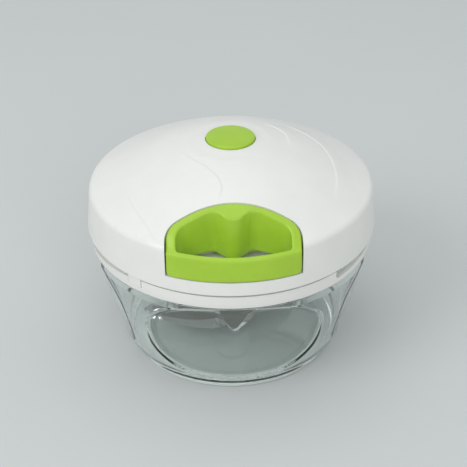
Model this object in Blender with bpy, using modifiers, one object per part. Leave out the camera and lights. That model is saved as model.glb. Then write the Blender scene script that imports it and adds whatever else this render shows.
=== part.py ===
"""Hand-pulled vegetable chopper: a clear bowl with a spindle, a stack of blades that
turns on it, and a domed lid that holds a cord, its spool, a recoil spring and a ratchet.

Metres, +Z up. The origin is the centre of the foot that it stands on, the pull handle
is on the -Y side, and every piece lies where it is when the lid is closed.
"""
import bpy
import bmesh
import numpy as np
from math import acos, asin, atan2, cos, pi, radians, sin, sqrt, tan
from mathutils import Matrix, Vector

MM = 0.001
GAP = 0.3 * MM              # between touching or cut pieces
OVERRUN = 2.0 * MM          # how far a cutter runs past what it cuts
MERGE = 0.01 * MM

# Bowl
FOOT_RADIUS = 47.3 * MM     # where the curve of the side would meet the table
SHOULDER_RADIUS = 63.3 * MM
SHOULDER_Z = 54.4 * MM
SIDE_POWER = 1.9            # how early the side turns upright
BOWL_WALL = 2.3 * MM
NECK_STEP = 1.6 * MM        # from the shoulder in to the neck
NECK_WALL = 2.5 * MM
NECK_HEIGHT = 3.8 * MM
NECK_BLEND = 4.0 * MM       # height in which the neck's inside runs into the wall
FOOT_LAND = 3.7 * MM        # width of the rim that the bowl stands on
FOOT_FILLET = 1.6 * MM
UNDERSIDE_RISE = 1.1 * MM   # how far the underside lies above that rim
FLOOR_THICKNESS = 2.4 * MM
FLOOR_FILLET = 4.0 * MM
SIDE_ROWS = 9
FACET_DEPTH = 2.4 * MM      # shallow oval panels round the side
FACET_COUNT = 4
FACET_CENTRE_Z = 30.5 * MM
FACET_HALF_HEIGHT = 23.5 * MM
FACET_HALF_ANGLE = radians(39.5)
FACET_POWER = 2.6

# Silicone ring under the foot
FOOT_RING_RADIUS = 46.2 * MM
FOOT_RING_THICKNESS = 1.2 * MM
FOOT_RING_LIP = 1.3 * MM

# Spindle and the post that holds it
PIN_RADIUS = 2.0 * MM
PIN_SINK = 5.1 * MM         # how deep the pin sits in the post
POST_RADIUS = 3.5 * MM
POST_BASE_RADIUS = 6.4 * MM
POST_HEIGHT = 3.0 * MM      # above the bowl's floor

# Blade unit, stacked on a flanged core
HUB_RADIUS = 8.0 * MM
CORE_RADIUS = 4.9 * MM
CORE_FLANGE = 1.5 * MM
CORE_HEIGHT = 33.4 * MM
CORE_HEADROOM = 3.7 * MM    # from the pin's end to the top of the core
BLADE_THICKNESS = 1.2 * MM
SPACER_HEIGHT = 10.0 * MM
BLADE_CLEARANCE = 6.8 * MM  # from the swept tips to the bowl's wall
FIRST_BLADE_AZIMUTH = radians(215)
BLADE_STEP = radians(-138.75)           # from each blade to the one above
BLADE_ROOT_WIDTH = 13.0 * MM
BLADE_TIP_WIDTH = 2.0 * MM
BLADE_FULLNESS = 6          # how late the width draws in towards the tip
BLADE_BELLY = 6.0 * MM      # extra on the cutting side, halfway out
BLADE_HEEL = 6.5 * MM       # extra on the other side, halfway out
BLADE_SWEEP = 22.0 * MM     # how far the tip is swept back from a straight blade
BLADE_ROWS = 9
EYE_STEPS = 13

# Lid: the ring and plate that close the bowl
RIM_CLEARANCE = 0.4 * MM
RING_HEIGHT = 7.0 * MM
RING_WALL = 1.8 * MM
PLATE_THICKNESS = 2.0 * MM
UPSTAND_HEIGHT = 3.4 * MM
UPSTAND_WALL = 1.6 * MM
UPSTAND_CLEARANCE = 0.5 * MM
SEAL_RIB_WALL = 1.5 * MM
SEAL_RIB_HEIGHT = 3.0 * MM
SEAL_WALL = 1.6 * MM

# Lid: the dome above the seam
COVER_OVERHANG = 1.2 * MM   # how far the skirt stands out over the ring
SKIRT_DRAFT = 1.7 * MM      # how far it leans in up to the corner
CORNER_RISE = 18.6 * MM
CORNER_FILLET = 3.4 * MM
DOME_BOW_SHARE = 1.248
DOME_ROWS = 7
COVER_WALL = 2.2 * MM
TONGUE_COUNT = 3
TONGUE_AZIMUTH = radians(-131)
TONGUE_WIDTH = 7.2 * MM
TONGUE_HEIGHT = 4.6 * MM
TONGUE_THICKNESS = 0.9 * MM
TONGUE_STANDOUT = 0.2 * MM  # over the ring below it
SLOT_LENGTH = 36.5 * MM     # of the slot in the ring's top, left of each tongue
SLOT_DEPTH = 1.2 * MM
SLOT_START_DROP = 2.2 * MM  # below the seam, beside the tongue
SLOT_END_DROP = 5.2 * MM
SLOT_END_RADIUS = 1.8 * MM

# Handle and the recess that it lies in
HANDLE_HALF_WIDTH = 27.8 * MM
HANDLE_BACK_HALF = 11.0 * MM
HANDLE_BACK_RADIUS = 52.0 * MM          # from its back into the slope of its shoulders
HANDLE_SHOULDER_SHARE = 0.342           # of the length of its sides, that its shoulders take
HANDLE_SHOULDER_RADIUS = 12.0 * MM
HANDLE_UNDERCUT = 2.7 * MM
HANDLE_BAR = 3.6 * MM       # thickness of the front bar
HANDLE_BAR_DROP = 1.3 * MM  # of the bar's inner edge below the cover's corner
HANDLE_BAR_SLOPE = 1.0 * MM             # from there down to its front edge
HANDLE_FALL_RUN = 4.4 * MM  # from the bar back to where the handle's top leaves the dome
HANDLE_TOP_RADIUS = 8.0 * MM            # of the bends at both ends of that fall
HANDLE_EDGE = 0.8 * MM
HANDLE_SIDE = 4.1 * MM
HANDLE_REAR = 3.6 * MM
HOLE_SHOULDER_RADIUS = 5.5 * MM
HOLE_FRONT_RADIUS = 2.5 * MM
LOBE_X = 7.8 * MM
LOBE_RADIUS = 5.8 * MM
HOLE_FRONT_SHARE = 0.9      # of the hole's half width, where its front corners start
HOLE_SHOULDER_SHARE = 0.61  # of the depth of the hole's sides
LOBE_SHARE = 1.09
BOSS_TIP_SHARE = 0.47
BOSS_RADIUS = 4.6 * MM
RECESS_SILL = 6.0 * MM      # white skirt left below the recess
RECESS_GAP = 0.55 * MM
RECESS_WALL = 1.8 * MM

# Cord, its guide and its knot
PULL_TRAVEL = 300.0 * MM
CORD_RADIUS = 1.0 * MM
CORD_RISE = 5.7 * MM        # of its exit above the handle's underside
CORD_SPARE = 10.0 * MM      # left on the spool at full pull
CORD_PITCH = 2.5 * MM
CORD_POINTS_PER_TURN = 24
CORD_RUN_POINTS = 9
GUIDE_WALL = 1.55 * MM
GUIDE_BORE_CLEARANCE = 0.45 * MM
GUIDE_FLANGE = 1.0 * MM
GUIDE_FLANGE_WIDTH = 1.4 * MM
KNOT_RADIUS = 1.9 * MM
KNOT_INSET = 4.6 * MM       # from the handle's back to the middle of the knot
KNOT_HEADROOM = 1.3 * MM
KNOT_ROWS = 7

# Ratchet and drive shaft
JOURNAL_RADIUS = 5.6 * MM
HEX_ACROSS = 8.0 * MM
HEX_LENGTH = 9.8 * MM
HEX_DROP = 0.2 * MM         # from the seal's collar to the top of the hexagon
RATCHET_ROOT_RADIUS = 8.2 * MM
TOOTH_HEIGHT = 2.2 * MM
RATCHET_TEETH = 8
RATCHET_THICKNESS = 4.0 * MM
PAWL_ARM = 6.7 * MM         # from the pawls' tips out to their pins
PAWL_PIN_RADIUS = 1.2 * MM
PAWL_EYE_WALL = 1.0 * MM
PAWL_EYE_OPENING = radians(60)
PAWL_TIP_DEPTH = 0.6 * MM   # how far the tips stay off the bottom of the teeth
PAWL_TIP_ANGLE = radians(34)
PAWL_TIP_WIDTH = 1.3 * MM
PAWL_COUNT = 2
BUSH_WALL = 2.0 * MM
BUSH_FLANGE = 1.8 * MM
BUSH_FLANGE_WIDTH = 1.9 * MM
SHAFT_SEAL_WALL = 2.8 * MM
SHAFT_SEAL_HEIGHT = 1.7 * MM
SEAL_COLLAR_WALL = 1.6 * MM
SEAL_COLLAR_HEIGHT = 2.6 * MM
WASHER_WIDTH = 2.7 * MM
WASHER_THICKNESS = 0.4 * MM
AXLE_SINK = 3.4 * MM        # of the axle into the ratchet wheel

# Spool, spring and frame
SPOOL_CORE_RADIUS = 13.7 * MM
SPOOL_FLANGE_STEP = 1.0 * MM
SPOOL_WEB = 1.5 * MM
CHAMBER_FLOOR = 1.0 * MM
CHAMBER_RADIUS = 27.0 * MM
CHAMBER_WALL = 1.5 * MM
CHAMBER_DEPTH = 3.7 * MM
CLUTCH_CLEARANCE = 1.0 * MM
CLUTCH_SKIRT_HEIGHT = 5.1 * MM
CLUTCH_SKIRT_WALL = 1.5 * MM
SPRING_COVER_THICKNESS = 0.8 * MM
ARBOR_RADIUS = 6.0 * MM
ARBOR_CLEARANCE = 0.5 * MM
SPRING_STRIP = 0.5 * MM
SPRING_TURNS = 5.5
SPRING_POINTS_PER_TURN = 16
FRAME_THICKNESS = 2.0 * MM
FRAME_RUNNING_GAP = 0.4 * MM
FRAME_CLEARANCE = 2.35 * MM # from the recess's wall to the frame
LEG_RADIUS = 2.8 * MM
LEG_INSET = 0.4 * MM
LEG_CLEARANCE = 3.2 * MM    # from the legs to the spool
COVER_BOSS_RADIUS = 3.5 * MM
COVER_BOSS_INSET = 12.6 * MM

# Button and the vent that it opens
BUTTON_RADIUS = 10.8 * MM
BUTTON_THICKNESS = 3.8 * MM
BUTTON_PROUD = 0.8 * MM     # above the top of the dome
BUTTON_CROWN = 0.4 * MM
BUTTON_FILLET = 0.6 * MM
BUTTON_TRAVEL = 2.0 * MM
BUTTON_SEAT = 2.0 * MM      # left under the pressed button
WELL_WALL = 1.7 * MM
STEM_RADIUS = 2.0 * MM
STEM_CLEARANCE = 1.0 * MM
STEM_HEAD_WIDTH = 1.2 * MM
STEM_HEAD = 0.5 * MM
PLUG_RADIUS = 4.6 * MM
PLUG_THICKNESS = 1.4 * MM
RETURN_SPRING_RADIUS = 4.6 * MM
RETURN_WIRE_RADIUS = 0.25 * MM
RETURN_CURLS = 3
RETURN_POINTS_PER_CURL = 10

# Screws, one ring of them into the cover and one into the frame
SCREW_COUNT = 3
SCREW_RADIUS = 1.2 * MM
SCREW_LENGTH = 9.0 * MM
SCREW_HEAD_RADIUS = 2.5 * MM
SCREW_HEAD = 1.4 * MM

# Facets of turned pieces
FINE_STEPS = 48
MEDIUM_STEPS = 24
COARSE_STEPS = 16
PIN_STEPS = 10
ARC_STEPS = 3               # of a small rounded corner
SWEEP_STEPS = 6             # of a wide one
SHARP_ANGLE = radians(35)   # edges that turn more than this stay sharp

# Heights, stacked from the foot to the button
FOOT_Z = FOOT_RING_THICKNESS + GAP
UNDERSIDE_Z = FOOT_Z + UNDERSIDE_RISE
FLOOR_Z = UNDERSIDE_Z + FLOOR_THICKNESS
POST_TOP_Z = FLOOR_Z + POST_HEIGHT
CORE_Z = POST_TOP_Z + GAP
CORE_TOP_Z = CORE_Z + CORE_HEIGHT
PIN_BOTTOM_Z = POST_TOP_Z - PIN_SINK
PIN_TOP_Z = CORE_TOP_Z - CORE_HEADROOM
RIM_Z = SHOULDER_Z + NECK_HEIGHT
RING_BOTTOM_Z = SHOULDER_Z + GAP
SEAM_Z = RING_BOTTOM_Z + RING_HEIGHT + GAP
PLATE_Z = RIM_Z + RIM_CLEARANCE
PLATE_TOP_Z = PLATE_Z + PLATE_THICKNESS
HEX_TOP_Z = PLATE_Z - SEAL_COLLAR_HEIGHT - HEX_DROP
HEX_BOTTOM_Z = HEX_TOP_Z - HEX_LENGTH
CAP_TOP_Z = HEX_TOP_Z - 2 * GAP
WHEEL_Z = PLATE_TOP_Z + GAP + BUSH_FLANGE + GAP
WHEEL_TOP_Z = WHEEL_Z + RATCHET_THICKNESS
AXLE_BOTTOM_Z = WHEEL_TOP_Z - AXLE_SINK
SPOOL_WEB_Z = WHEEL_TOP_Z + GAP + WASHER_THICKNESS + GAP
GROOVE_Z = SPOOL_WEB_Z + SPOOL_WEB
WINDING_RADIUS = SPOOL_CORE_RADIUS + GAP + CORD_RADIUS
CORD_TURNS = (PULL_TRAVEL + CORD_SPARE) / (2 * pi * WINDING_RADIUS)
GROOVE_TOP_Z = GROOVE_Z + 2 * GAP + 2 * CORD_RADIUS + CORD_PITCH * CORD_TURNS
CHAMBER_Z = GROOVE_TOP_Z + CHAMBER_FLOOR
CHAMBER_TOP_Z = CHAMBER_Z + CHAMBER_DEPTH
SPRING_COVER_Z = CHAMBER_TOP_Z + GAP
SPRING_COVER_TOP_Z = SPRING_COVER_Z + SPRING_COVER_THICKNESS
FRAME_Z = SPRING_COVER_TOP_Z + FRAME_RUNNING_GAP
FRAME_TOP_Z = FRAME_Z + FRAME_THICKNESS
STEM_BOTTOM_Z = FRAME_TOP_Z + GAP + BUTTON_TRAVEL
PLUG_Z = STEM_BOTTOM_Z + STEM_HEAD + GAP
WELL_BOTTOM_Z = PLUG_Z + PLUG_THICKNESS + GAP
WELL_FLOOR_Z = WELL_BOTTOM_Z + WELL_WALL
BUTTON_Z = WELL_FLOOR_Z + BUTTON_SEAT + BUTTON_TRAVEL
BUTTON_TOP_Z = BUTTON_Z + BUTTON_THICKNESS
DOME_TOP_Z = BUTTON_TOP_Z - BUTTON_PROUD
CORNER_Z = SEAM_Z + CORNER_RISE
RECESS_FLOOR_Z = SEAM_Z + RECESS_SILL
HANDLE_Z = RECESS_FLOOR_Z + GAP
CORD_Z = HANDLE_Z + CORD_RISE
POCKET_TOP_Z = CORD_Z + KNOT_RADIUS + GAP + KNOT_HEADROOM

# Radii and depths, of the bowl and lid from the inside out, then of the mechanism
NECK_RADIUS = SHOULDER_RADIUS - NECK_STEP
NECK_INSIDE = NECK_RADIUS - NECK_WALL
RING_INSIDE = NECK_RADIUS + GAP
RING_RADIUS = RING_INSIDE + RING_WALL
COVER_RADIUS = RING_RADIUS + COVER_OVERHANG
CORNER_RADIUS = COVER_RADIUS - SKIRT_DRAFT
LEG_CIRCLE = CHAMBER_RADIUS + LEG_CLEARANCE + LEG_RADIUS
FRAME_RADIUS = LEG_CIRCLE + LEG_RADIUS + LEG_INSET
RECESS_BACK_Y = -(FRAME_RADIUS + FRAME_CLEARANCE + RECESS_WALL)
HANDLE_BACK_Y = RECESS_BACK_Y - RECESS_GAP
HANDLE_SIDE_LENGTH = sqrt(COVER_RADIUS ** 2 - HANDLE_HALF_WIDTH ** 2) + HANDLE_BACK_Y
HANDLE_SHOULDER_DROP = HANDLE_SHOULDER_SHARE * HANDLE_SIDE_LENGTH
CHAMBER_INSIDE = CHAMBER_RADIUS - CHAMBER_WALL
BOSS_CIRCLE = COVER_RADIUS - COVER_BOSS_INSET
PIN_BORE = PIN_RADIUS + GAP             # of the spindle and of the axle
JOURNAL_BORE = JOURNAL_RADIUS + GAP
RATCHET_TIP_RADIUS = RATCHET_ROOT_RADIUS + TOOTH_HEIGHT
PAWL_TIP_RADIUS = RATCHET_ROOT_RADIUS + PAWL_TIP_DEPTH
PAWL_CIRCLE = PAWL_TIP_RADIUS + PAWL_ARM
PAWL_EYE_RADIUS = PAWL_PIN_RADIUS + GAP + PAWL_EYE_WALL
CLUTCH_INSIDE = PAWL_CIRCLE + PAWL_EYE_RADIUS + CLUTCH_CLEARANCE
GUIDE_BORE = CORD_RADIUS + GUIDE_BORE_CLEARANCE
GUIDE_RADIUS = GUIDE_BORE + GUIDE_WALL
BUTTON_WELL = BUTTON_RADIUS + GAP
SCREW_HOLE = SCREW_RADIUS + GAP
SCREW_HOLE_TOP_Z = PLATE_Z + SCREW_LENGTH + GAP

for old in list(bpy.data.objects):
    bpy.data.objects.remove(old, do_unlink=True)

parts = bpy.data.collections.new("vegetable_chopper")
cutters = bpy.data.collections.new("cutters")
for collection in (parts, cutters):
    bpy.context.scene.collection.children.link(collection)


def material(name, colour, roughness, metallic=0.0, alpha=1.0):
    """A Principled material in one plain colour."""
    made = bpy.data.materials.new(name)
    made.use_nodes = True
    shader = made.node_tree.nodes["Principled BSDF"]
    shader.inputs["Base Color"].default_value = (*colour, 1.0)
    shader.inputs["Roughness"].default_value = roughness
    shader.inputs["Metallic"].default_value = metallic
    shader.inputs["Alpha"].default_value = alpha
    made.diffuse_color = (*colour, alpha)
    return made


WHITE = (0.82, 0.83, 0.81)
GREEN = (0.38, 0.62, 0.05)
STEEL = (0.62, 0.63, 0.64)
CLEAR = (0.80, 0.88, 0.86)
MILKY = (0.78, 0.80, 0.79)
GREY = (0.45, 0.46, 0.46)


# Building blocks

def add_object(name, mesh, finish=None, collection=parts):
    """Put a mesh in the scene as one named object."""
    made = bpy.data.objects.new(name, mesh)
    collection.objects.link(made)
    if finish is not None:
        mesh.materials.append(finish)
    if collection is cutters:
        made.hide_render = True
        made.display_type = "WIRE"
    return made


def smooth(mesh):
    mesh.shade_smooth()
    mesh.set_sharp_from_angle(angle=SHARP_ANGLE)


def evaluated_mesh(source):
    """The mesh of an object as its modifiers leave it."""
    bpy.context.view_layer.update()
    graph = bpy.context.evaluated_depsgraph_get()
    return bpy.data.meshes.new_from_object(source.evaluated_get(graph))


def baked(source, finish=None):
    """Turn an object with modifiers, or a curve, into a plain welded mesh object."""
    name, collection = source.name, source.users_collection[0]
    mesh = evaluated_mesh(source)
    mesh.transform(source.matrix_world)
    bpy.data.objects.remove(source, do_unlink=True)
    shell = bmesh.new()
    shell.from_mesh(mesh)
    bmesh.ops.remove_doubles(shell, verts=shell.verts, dist=MERGE)
    bmesh.ops.recalc_face_normals(shell, faces=shell.faces)
    shell.to_mesh(mesh)
    shell.free()
    mesh.materials.clear()
    smooth(mesh)
    return add_object(name, mesh, finish, collection)


def turned(name, outline, steps, finish=None, collection=parts):
    """Turn a profile of (radius, height) points about the vertical axis.

    The outer side runs from top to bottom. A profile that starts and ends on the axis
    is left open there, and any other one is closed.
    """
    mesh = bpy.data.meshes.new(name)
    on_axis = outline[0][0] == 0 and outline[-1][0] == 0
    count = len(outline)
    edges = [(i, i + 1) for i in range(count - 1)]
    if not on_axis:
        edges.append((count - 1, 0))
    mesh.from_pydata([(r, 0, z) for r, z in outline], edges, [])
    made = add_object(name, mesh, None, collection)
    screw = made.modifiers.new("turn", "SCREW")
    screw.steps = screw.render_steps = steps
    screw.use_merge_vertices = True
    screw.merge_threshold = MERGE
    screw.use_smooth_shade = True
    return baked(made, finish)


def rounded(corners, steps=ARC_STEPS):
    """Outline through (x, y, radius) corners, each one replaced by its arc.

    Where two arcs would run past each other on the edge between them, both get smaller.
    """
    places = [Vector(corner[:2]) for corner in corners]
    edges = [after - place for place, after in zip(places, places[1:] + places[:1])]
    halves = [(-edges[i - 1]).angle(edges[i]) / 2 for i in range(len(corners))]
    cuts = [radius / tan(half) if radius else 0 for (_, _, radius), half in zip(corners, halves)]
    room = [edge.length / max(edge.length, cut + next_cut)
            for edge, cut, next_cut in zip(edges, cuts, cuts[1:] + cuts[:1])]
    outline = []
    for i, (corner, half) in enumerate(zip(places, halves)):
        cut = cuts[i] * min(room[i - 1], room[i])
        if cut == 0:
            outline.append(tuple(corner))
            continue
        before, after = -edges[i - 1].normalized(), edges[i].normalized()
        start, end = corner + before * cut, corner + after * cut
        middle = corner + (before + after).normalized() * (cut / cos(half))
        turn = (start - middle).angle_signed(end - middle)
        for step in range(steps + 1):
            spoke = start - middle
            spoke.rotate(Matrix.Rotation(-turn * step / steps, 2))
            outline.append(tuple(middle + spoke))
    return outline


def extruded(name, outline, bottom, top, finish=None, collection=parts):
    """A flat outline as a filled 2D curve, raised from one height to another."""
    curve = bpy.data.curves.new(name, "CURVE")
    curve.dimensions = "2D"
    curve.fill_mode = "BOTH"
    curve.extrude = (top - bottom) / 2
    spline = curve.splines.new("POLY")
    spline.points.add(len(outline) - 1)
    for point, (x, y) in zip(spline.points, outline):
        point.co = (x, y, 0, 1)
    spline.use_cyclic_u = True
    made = bpy.data.objects.new(name, curve)
    collection.objects.link(made)
    made.location.z = (top + bottom) / 2
    return baked(made, finish)


def tube(name, points, radius, finish=None, collection=parts):
    """A round tube with closed ends along a list of points."""
    curve = bpy.data.curves.new(name, "CURVE")
    curve.dimensions = "3D"
    curve.bevel_depth = radius
    curve.bevel_resolution = 1
    curve.use_fill_caps = True
    spline = curve.splines.new("POLY")
    spline.points.add(len(points) - 1)
    for point, place in zip(spline.points, points):
        point.co = (*place, 1)
    made = bpy.data.objects.new(name, curve)
    collection.objects.link(made)
    return baked(made, finish)


def print_own_gap(name, points, radius, points_per_turn):
    """Print how near a wound tube's turns come to each other, measured on its points."""
    places = np.array([tuple(point) for point in points])
    apart = points_per_turn // 2
    least = min(np.linalg.norm(places[i + apart:] - places[i], axis=1).min()
                for i in range(len(places) - apart))
    print(f"{name}: least gap to itself {(least - 2 * radius) / MM:.2f} mm")


def cylinder(name, radius, bottom, top, place=(0, 0), steps=COARSE_STEPS, finish=None,
             collection=cutters):
    """An upright cylinder at (x, y)."""
    mesh = bpy.data.meshes.new(name)
    shape = bmesh.new()
    bmesh.ops.create_cone(shape, cap_ends=True, segments=steps, radius1=radius, radius2=radius,
                          depth=top - bottom)
    bmesh.ops.translate(shape, verts=shape.verts, vec=(*place, (top + bottom) / 2))
    shape.to_mesh(mesh)
    shape.free()
    smooth(mesh)
    return add_object(name, mesh, finish, collection)


def block(name, low, high, finish=None, collection=cutters):
    """A box between two corners."""
    mesh = bpy.data.meshes.new(name)
    shape = bmesh.new()
    bmesh.ops.create_cube(shape, size=1)
    size = Vector(high) - Vector(low)
    bmesh.ops.scale(shape, verts=shape.verts, vec=size)
    bmesh.ops.translate(shape, verts=shape.verts, vec=(Vector(high) + Vector(low)) / 2)
    shape.to_mesh(mesh)
    shape.free()
    return add_object(name, mesh, finish, collection)


def boolean(target, other, operation="DIFFERENCE"):
    change = target.modifiers.new(other.name, "BOOLEAN")
    change.operation = operation
    change.solver = "EXACT"
    change.object = other


def turn_mesh(target, angle, about=(0, 0)):
    """Turn an object's mesh about an upright line through (x, y)."""
    there = Matrix.Translation((*about, 0))
    target.data.transform(there @ Matrix.Rotation(angle, 4, "Z") @ there.inverted())


def around(count, radius, first):
    """Places evenly spaced on a circle, as (x, y)."""
    angles = [first + 2 * pi * i / count for i in range(count)]
    return [(radius * cos(a), radius * sin(a)) for a in angles]


def set_origin(target, place):
    """Move an object's origin to a point of its joint's axis, leaving its shape in place."""
    target.data.transform(Matrix.Translation(-Vector(place)))
    target.location = place


# Bowl and its foot

def side_radius(z):
    """Outer radius of the bowl between its panels."""
    up = z / SHOULDER_Z
    return FOOT_RADIUS + (SHOULDER_RADIUS - FOOT_RADIUS) * (1 - (1 - up) ** SIDE_POWER)


def facet_depth(angle, z):
    """How far one of the oval panels pushes the wall in at this place."""
    pitch = 2 * pi / FACET_COUNT
    off = (angle + pi / 2 + pitch / 2) % pitch - pitch / 2
    spread = abs(off / FACET_HALF_ANGLE) ** FACET_POWER
    spread += abs((z - FACET_CENTRE_Z) / FACET_HALF_HEIGHT) ** FACET_POWER
    return FACET_DEPTH * max(0.0, 1 - spread)


def make_bowl(finish):
    rows = [FOOT_Z + (SHOULDER_Z - FOOT_Z) * i / SIDE_ROWS for i in range(1, SIDE_ROWS)]
    inside = [(side_radius(z) - BOWL_WALL, z, 0) for z in rows
              if FLOOR_Z + FLOOR_FILLET < z < SHOULDER_Z - NECK_BLEND]
    outside = [(side_radius(z), z, 0) for z in reversed(rows)]
    land_inside = FOOT_RING_RADIUS + GAP - FOOT_LAND
    outline = rounded(
        [(0, PIN_BOTTOM_Z, 0), (PIN_BORE, PIN_BOTTOM_Z, 0), (PIN_BORE, POST_TOP_Z, 0),
         (POST_RADIUS, POST_TOP_Z, 0), (POST_BASE_RADIUS, FLOOR_Z, 0),
         (side_radius(FLOOR_Z) - BOWL_WALL, FLOOR_Z, FLOOR_FILLET / 2)] + inside +
        [(NECK_INSIDE, SHOULDER_Z, 0), (NECK_INSIDE, RIM_Z, 0), (NECK_RADIUS, RIM_Z, 0),
         (NECK_RADIUS, SHOULDER_Z, 0), (SHOULDER_RADIUS, SHOULDER_Z, 0)] + outside +
        [(side_radius(FOOT_Z), FOOT_Z, FOOT_FILLET), (land_inside, FOOT_Z, 0),
         (land_inside, UNDERSIDE_Z, 0), (0, UNDERSIDE_Z, 0)])
    bowl = turned("bowl", outline, FINE_STEPS, finish)
    for vertex in bowl.data.vertices:
        x, y, z = vertex.co
        radius = sqrt(x * x + y * y)
        if radius > POST_BASE_RADIUS:
            share = 1 - facet_depth(np.arctan2(y, x), z) / radius
            vertex.co = (x * share, y * share, z)
    return bowl


def make_foot_ring(finish):
    lip = FOOT_RING_RADIUS - FOOT_LAND
    inner = lip - FOOT_RING_LIP
    return turned("foot_ring", [
        (inner, UNDERSIDE_Z - GAP), (lip, UNDERSIDE_Z - GAP), (lip, FOOT_RING_THICKNESS),
        (FOOT_RING_RADIUS, FOOT_RING_THICKNESS), (FOOT_RING_RADIUS, 0), (inner, 0)], FINE_STEPS, finish)


def make_spindle_pin(finish):
    return cylinder("spindle_pin", PIN_RADIUS, PIN_BOTTOM_Z + GAP, PIN_TOP_Z, finish=finish,
                    collection=parts)


# Blade unit

def blade_reach(z):
    """How far a blade's tip lies out along it, so that the swept tip clears the wall."""
    swept = side_radius(z) - BOWL_WALL - facet_depth(-pi / 2, z) - BLADE_CLEARANCE
    return sqrt(swept ** 2 - BLADE_SWEEP ** 2)


def blade_outline(reach):
    """A sickle wing with a round eye, its wing along +X and swept towards -Y."""
    open_angle = acos(BLADE_ROOT_WIDTH / 2 / HUB_RADIUS)
    eye_angles = np.linspace(open_angle, 2 * pi - open_angle, EYE_STEPS)
    eye = [(HUB_RADIUS * cos(a), HUB_RADIUS * sin(a)) for a in eye_angles]
    lead, trail = [], []
    for share in np.linspace(HUB_RADIUS / reach, 1, BLADE_ROWS):
        middle = -BLADE_SWEEP * share ** 2
        width = BLADE_ROOT_WIDTH + (BLADE_TIP_WIDTH - BLADE_ROOT_WIDTH) * share ** BLADE_FULLNESS
        bulge = 4 * share * (1 - share)
        lead.append((reach * share, middle + width / 2 + BLADE_BELLY * bulge))
        trail.append((reach * share, middle - width / 2 - BLADE_HEEL * bulge))
    return eye + trail[1:] + lead[:0:-1]


def make_blade(name, azimuth, bottom, finish):
    top = bottom + BLADE_THICKNESS
    blade = extruded(name, blade_outline(blade_reach(bottom)), bottom, top, finish)
    bore = cylinder(name + "_bore", CORE_RADIUS + GAP, bottom - OVERRUN, top + OVERRUN)
    boolean(blade, bore)
    turn_mesh(blade, azimuth)
    return blade


def make_blade_unit(steel, plastic):
    flange_top = CORE_Z + CORE_FLANGE
    turned("hub_core", [(PIN_BORE, CORE_TOP_Z), (CORE_RADIUS, CORE_TOP_Z), (CORE_RADIUS, flange_top),
                        (HUB_RADIUS, flange_top), (HUB_RADIUS, CORE_Z), (PIN_BORE, CORE_Z)],
           MEDIUM_STEPS, plastic)
    sleeve = CORE_RADIUS + GAP
    level = flange_top + GAP
    for i, place in enumerate(("low", "middle", "high")):
        make_blade("blade_" + place, FIRST_BLADE_AZIMUTH + i * BLADE_STEP, level, steel)
        level += BLADE_THICKNESS + GAP
        if place != "high":
            turned("spacer_" + place, [(sleeve, level + SPACER_HEIGHT), (HUB_RADIUS, level + SPACER_HEIGHT),
                                       (HUB_RADIUS, level), (sleeve, level)], MEDIUM_STEPS, plastic)
            level += SPACER_HEIGHT + GAP
    web_z = CORE_TOP_Z + GAP
    cap = turned("hub_cap", [(0, CAP_TOP_Z), (HUB_RADIUS, CAP_TOP_Z), (HUB_RADIUS, level),
                             (sleeve, level), (sleeve, web_z), (0, web_z)], MEDIUM_STEPS, plastic)
    socket = cylinder("hub_socket", (HEX_ACROSS / 2 + GAP) / cos(pi / 6), HEX_BOTTOM_Z - GAP,
                      CAP_TOP_Z + OVERRUN, steps=6)
    boolean(cap, socket)


# Lid

def dome_z(radius):
    """Height of the dome's outer surface."""
    out = radius / CORNER_RADIUS
    drop = DOME_BOW_SHARE * out ** 2 - (DOME_BOW_SHARE - 1) * out ** 4
    return DOME_TOP_Z - (DOME_TOP_Z - CORNER_Z) * drop


def dome_profile(inset, bottom):
    """Profile of the dome and skirt, moved in by inset, closed at the bottom."""
    radii = [CORNER_RADIUS * share for share in np.linspace(0, 1, DOME_ROWS)[:-1]]
    over_dome = [(radius, dome_z(radius) - inset, 0) for radius in radii]
    corner = (CORNER_RADIUS - inset, CORNER_Z - inset, max(CORNER_FILLET - inset, GAP))
    foot = COVER_RADIUS - inset + SKIRT_DRAFT / CORNER_RISE * (SEAM_Z - bottom)
    return rounded(over_dome + [corner, (foot, bottom, 0), (0, bottom, 0)])


def recess_outline(grow):
    """Plan of the handle's outside, grown by a clearance, open towards the front."""
    slope = atan2(HANDLE_SHOULDER_DROP, HANDLE_HALF_WIDTH - HANDLE_BACK_HALF)
    side = HANDLE_HALF_WIDTH + grow
    shoulder_y = HANDLE_BACK_Y - HANDLE_SHOULDER_DROP + grow * (1 / cos(slope) - tan(slope))
    back_x = HANDLE_BACK_HALF + grow * tan(slope / 2)
    right = [(side, -COVER_RADIUS - OVERRUN, 0), (side, -sqrt(COVER_RADIUS ** 2 - side ** 2), 0),
             (side, shoulder_y, HANDLE_SHOULDER_RADIUS + grow),
             (back_x, HANDLE_BACK_Y + grow, HANDLE_BACK_RADIUS + grow)]
    left = [(-x, y, radius) for x, y, radius in reversed(right)]
    return rounded(right + left, SWEEP_STEPS)


def wedge(name, azimuth, inner, outer, width, bottom, top):
    """A box that stands radially at an azimuth."""
    made = block(name, (inner, -width / 2, bottom), (outer, width / 2, top))
    turn_mesh(made, azimuth)
    return made


def tongue_azimuths():
    return [TONGUE_AZIMUTH + 2 * pi * i / TONGUE_COUNT for i in range(TONGUE_COUNT)]


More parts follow.
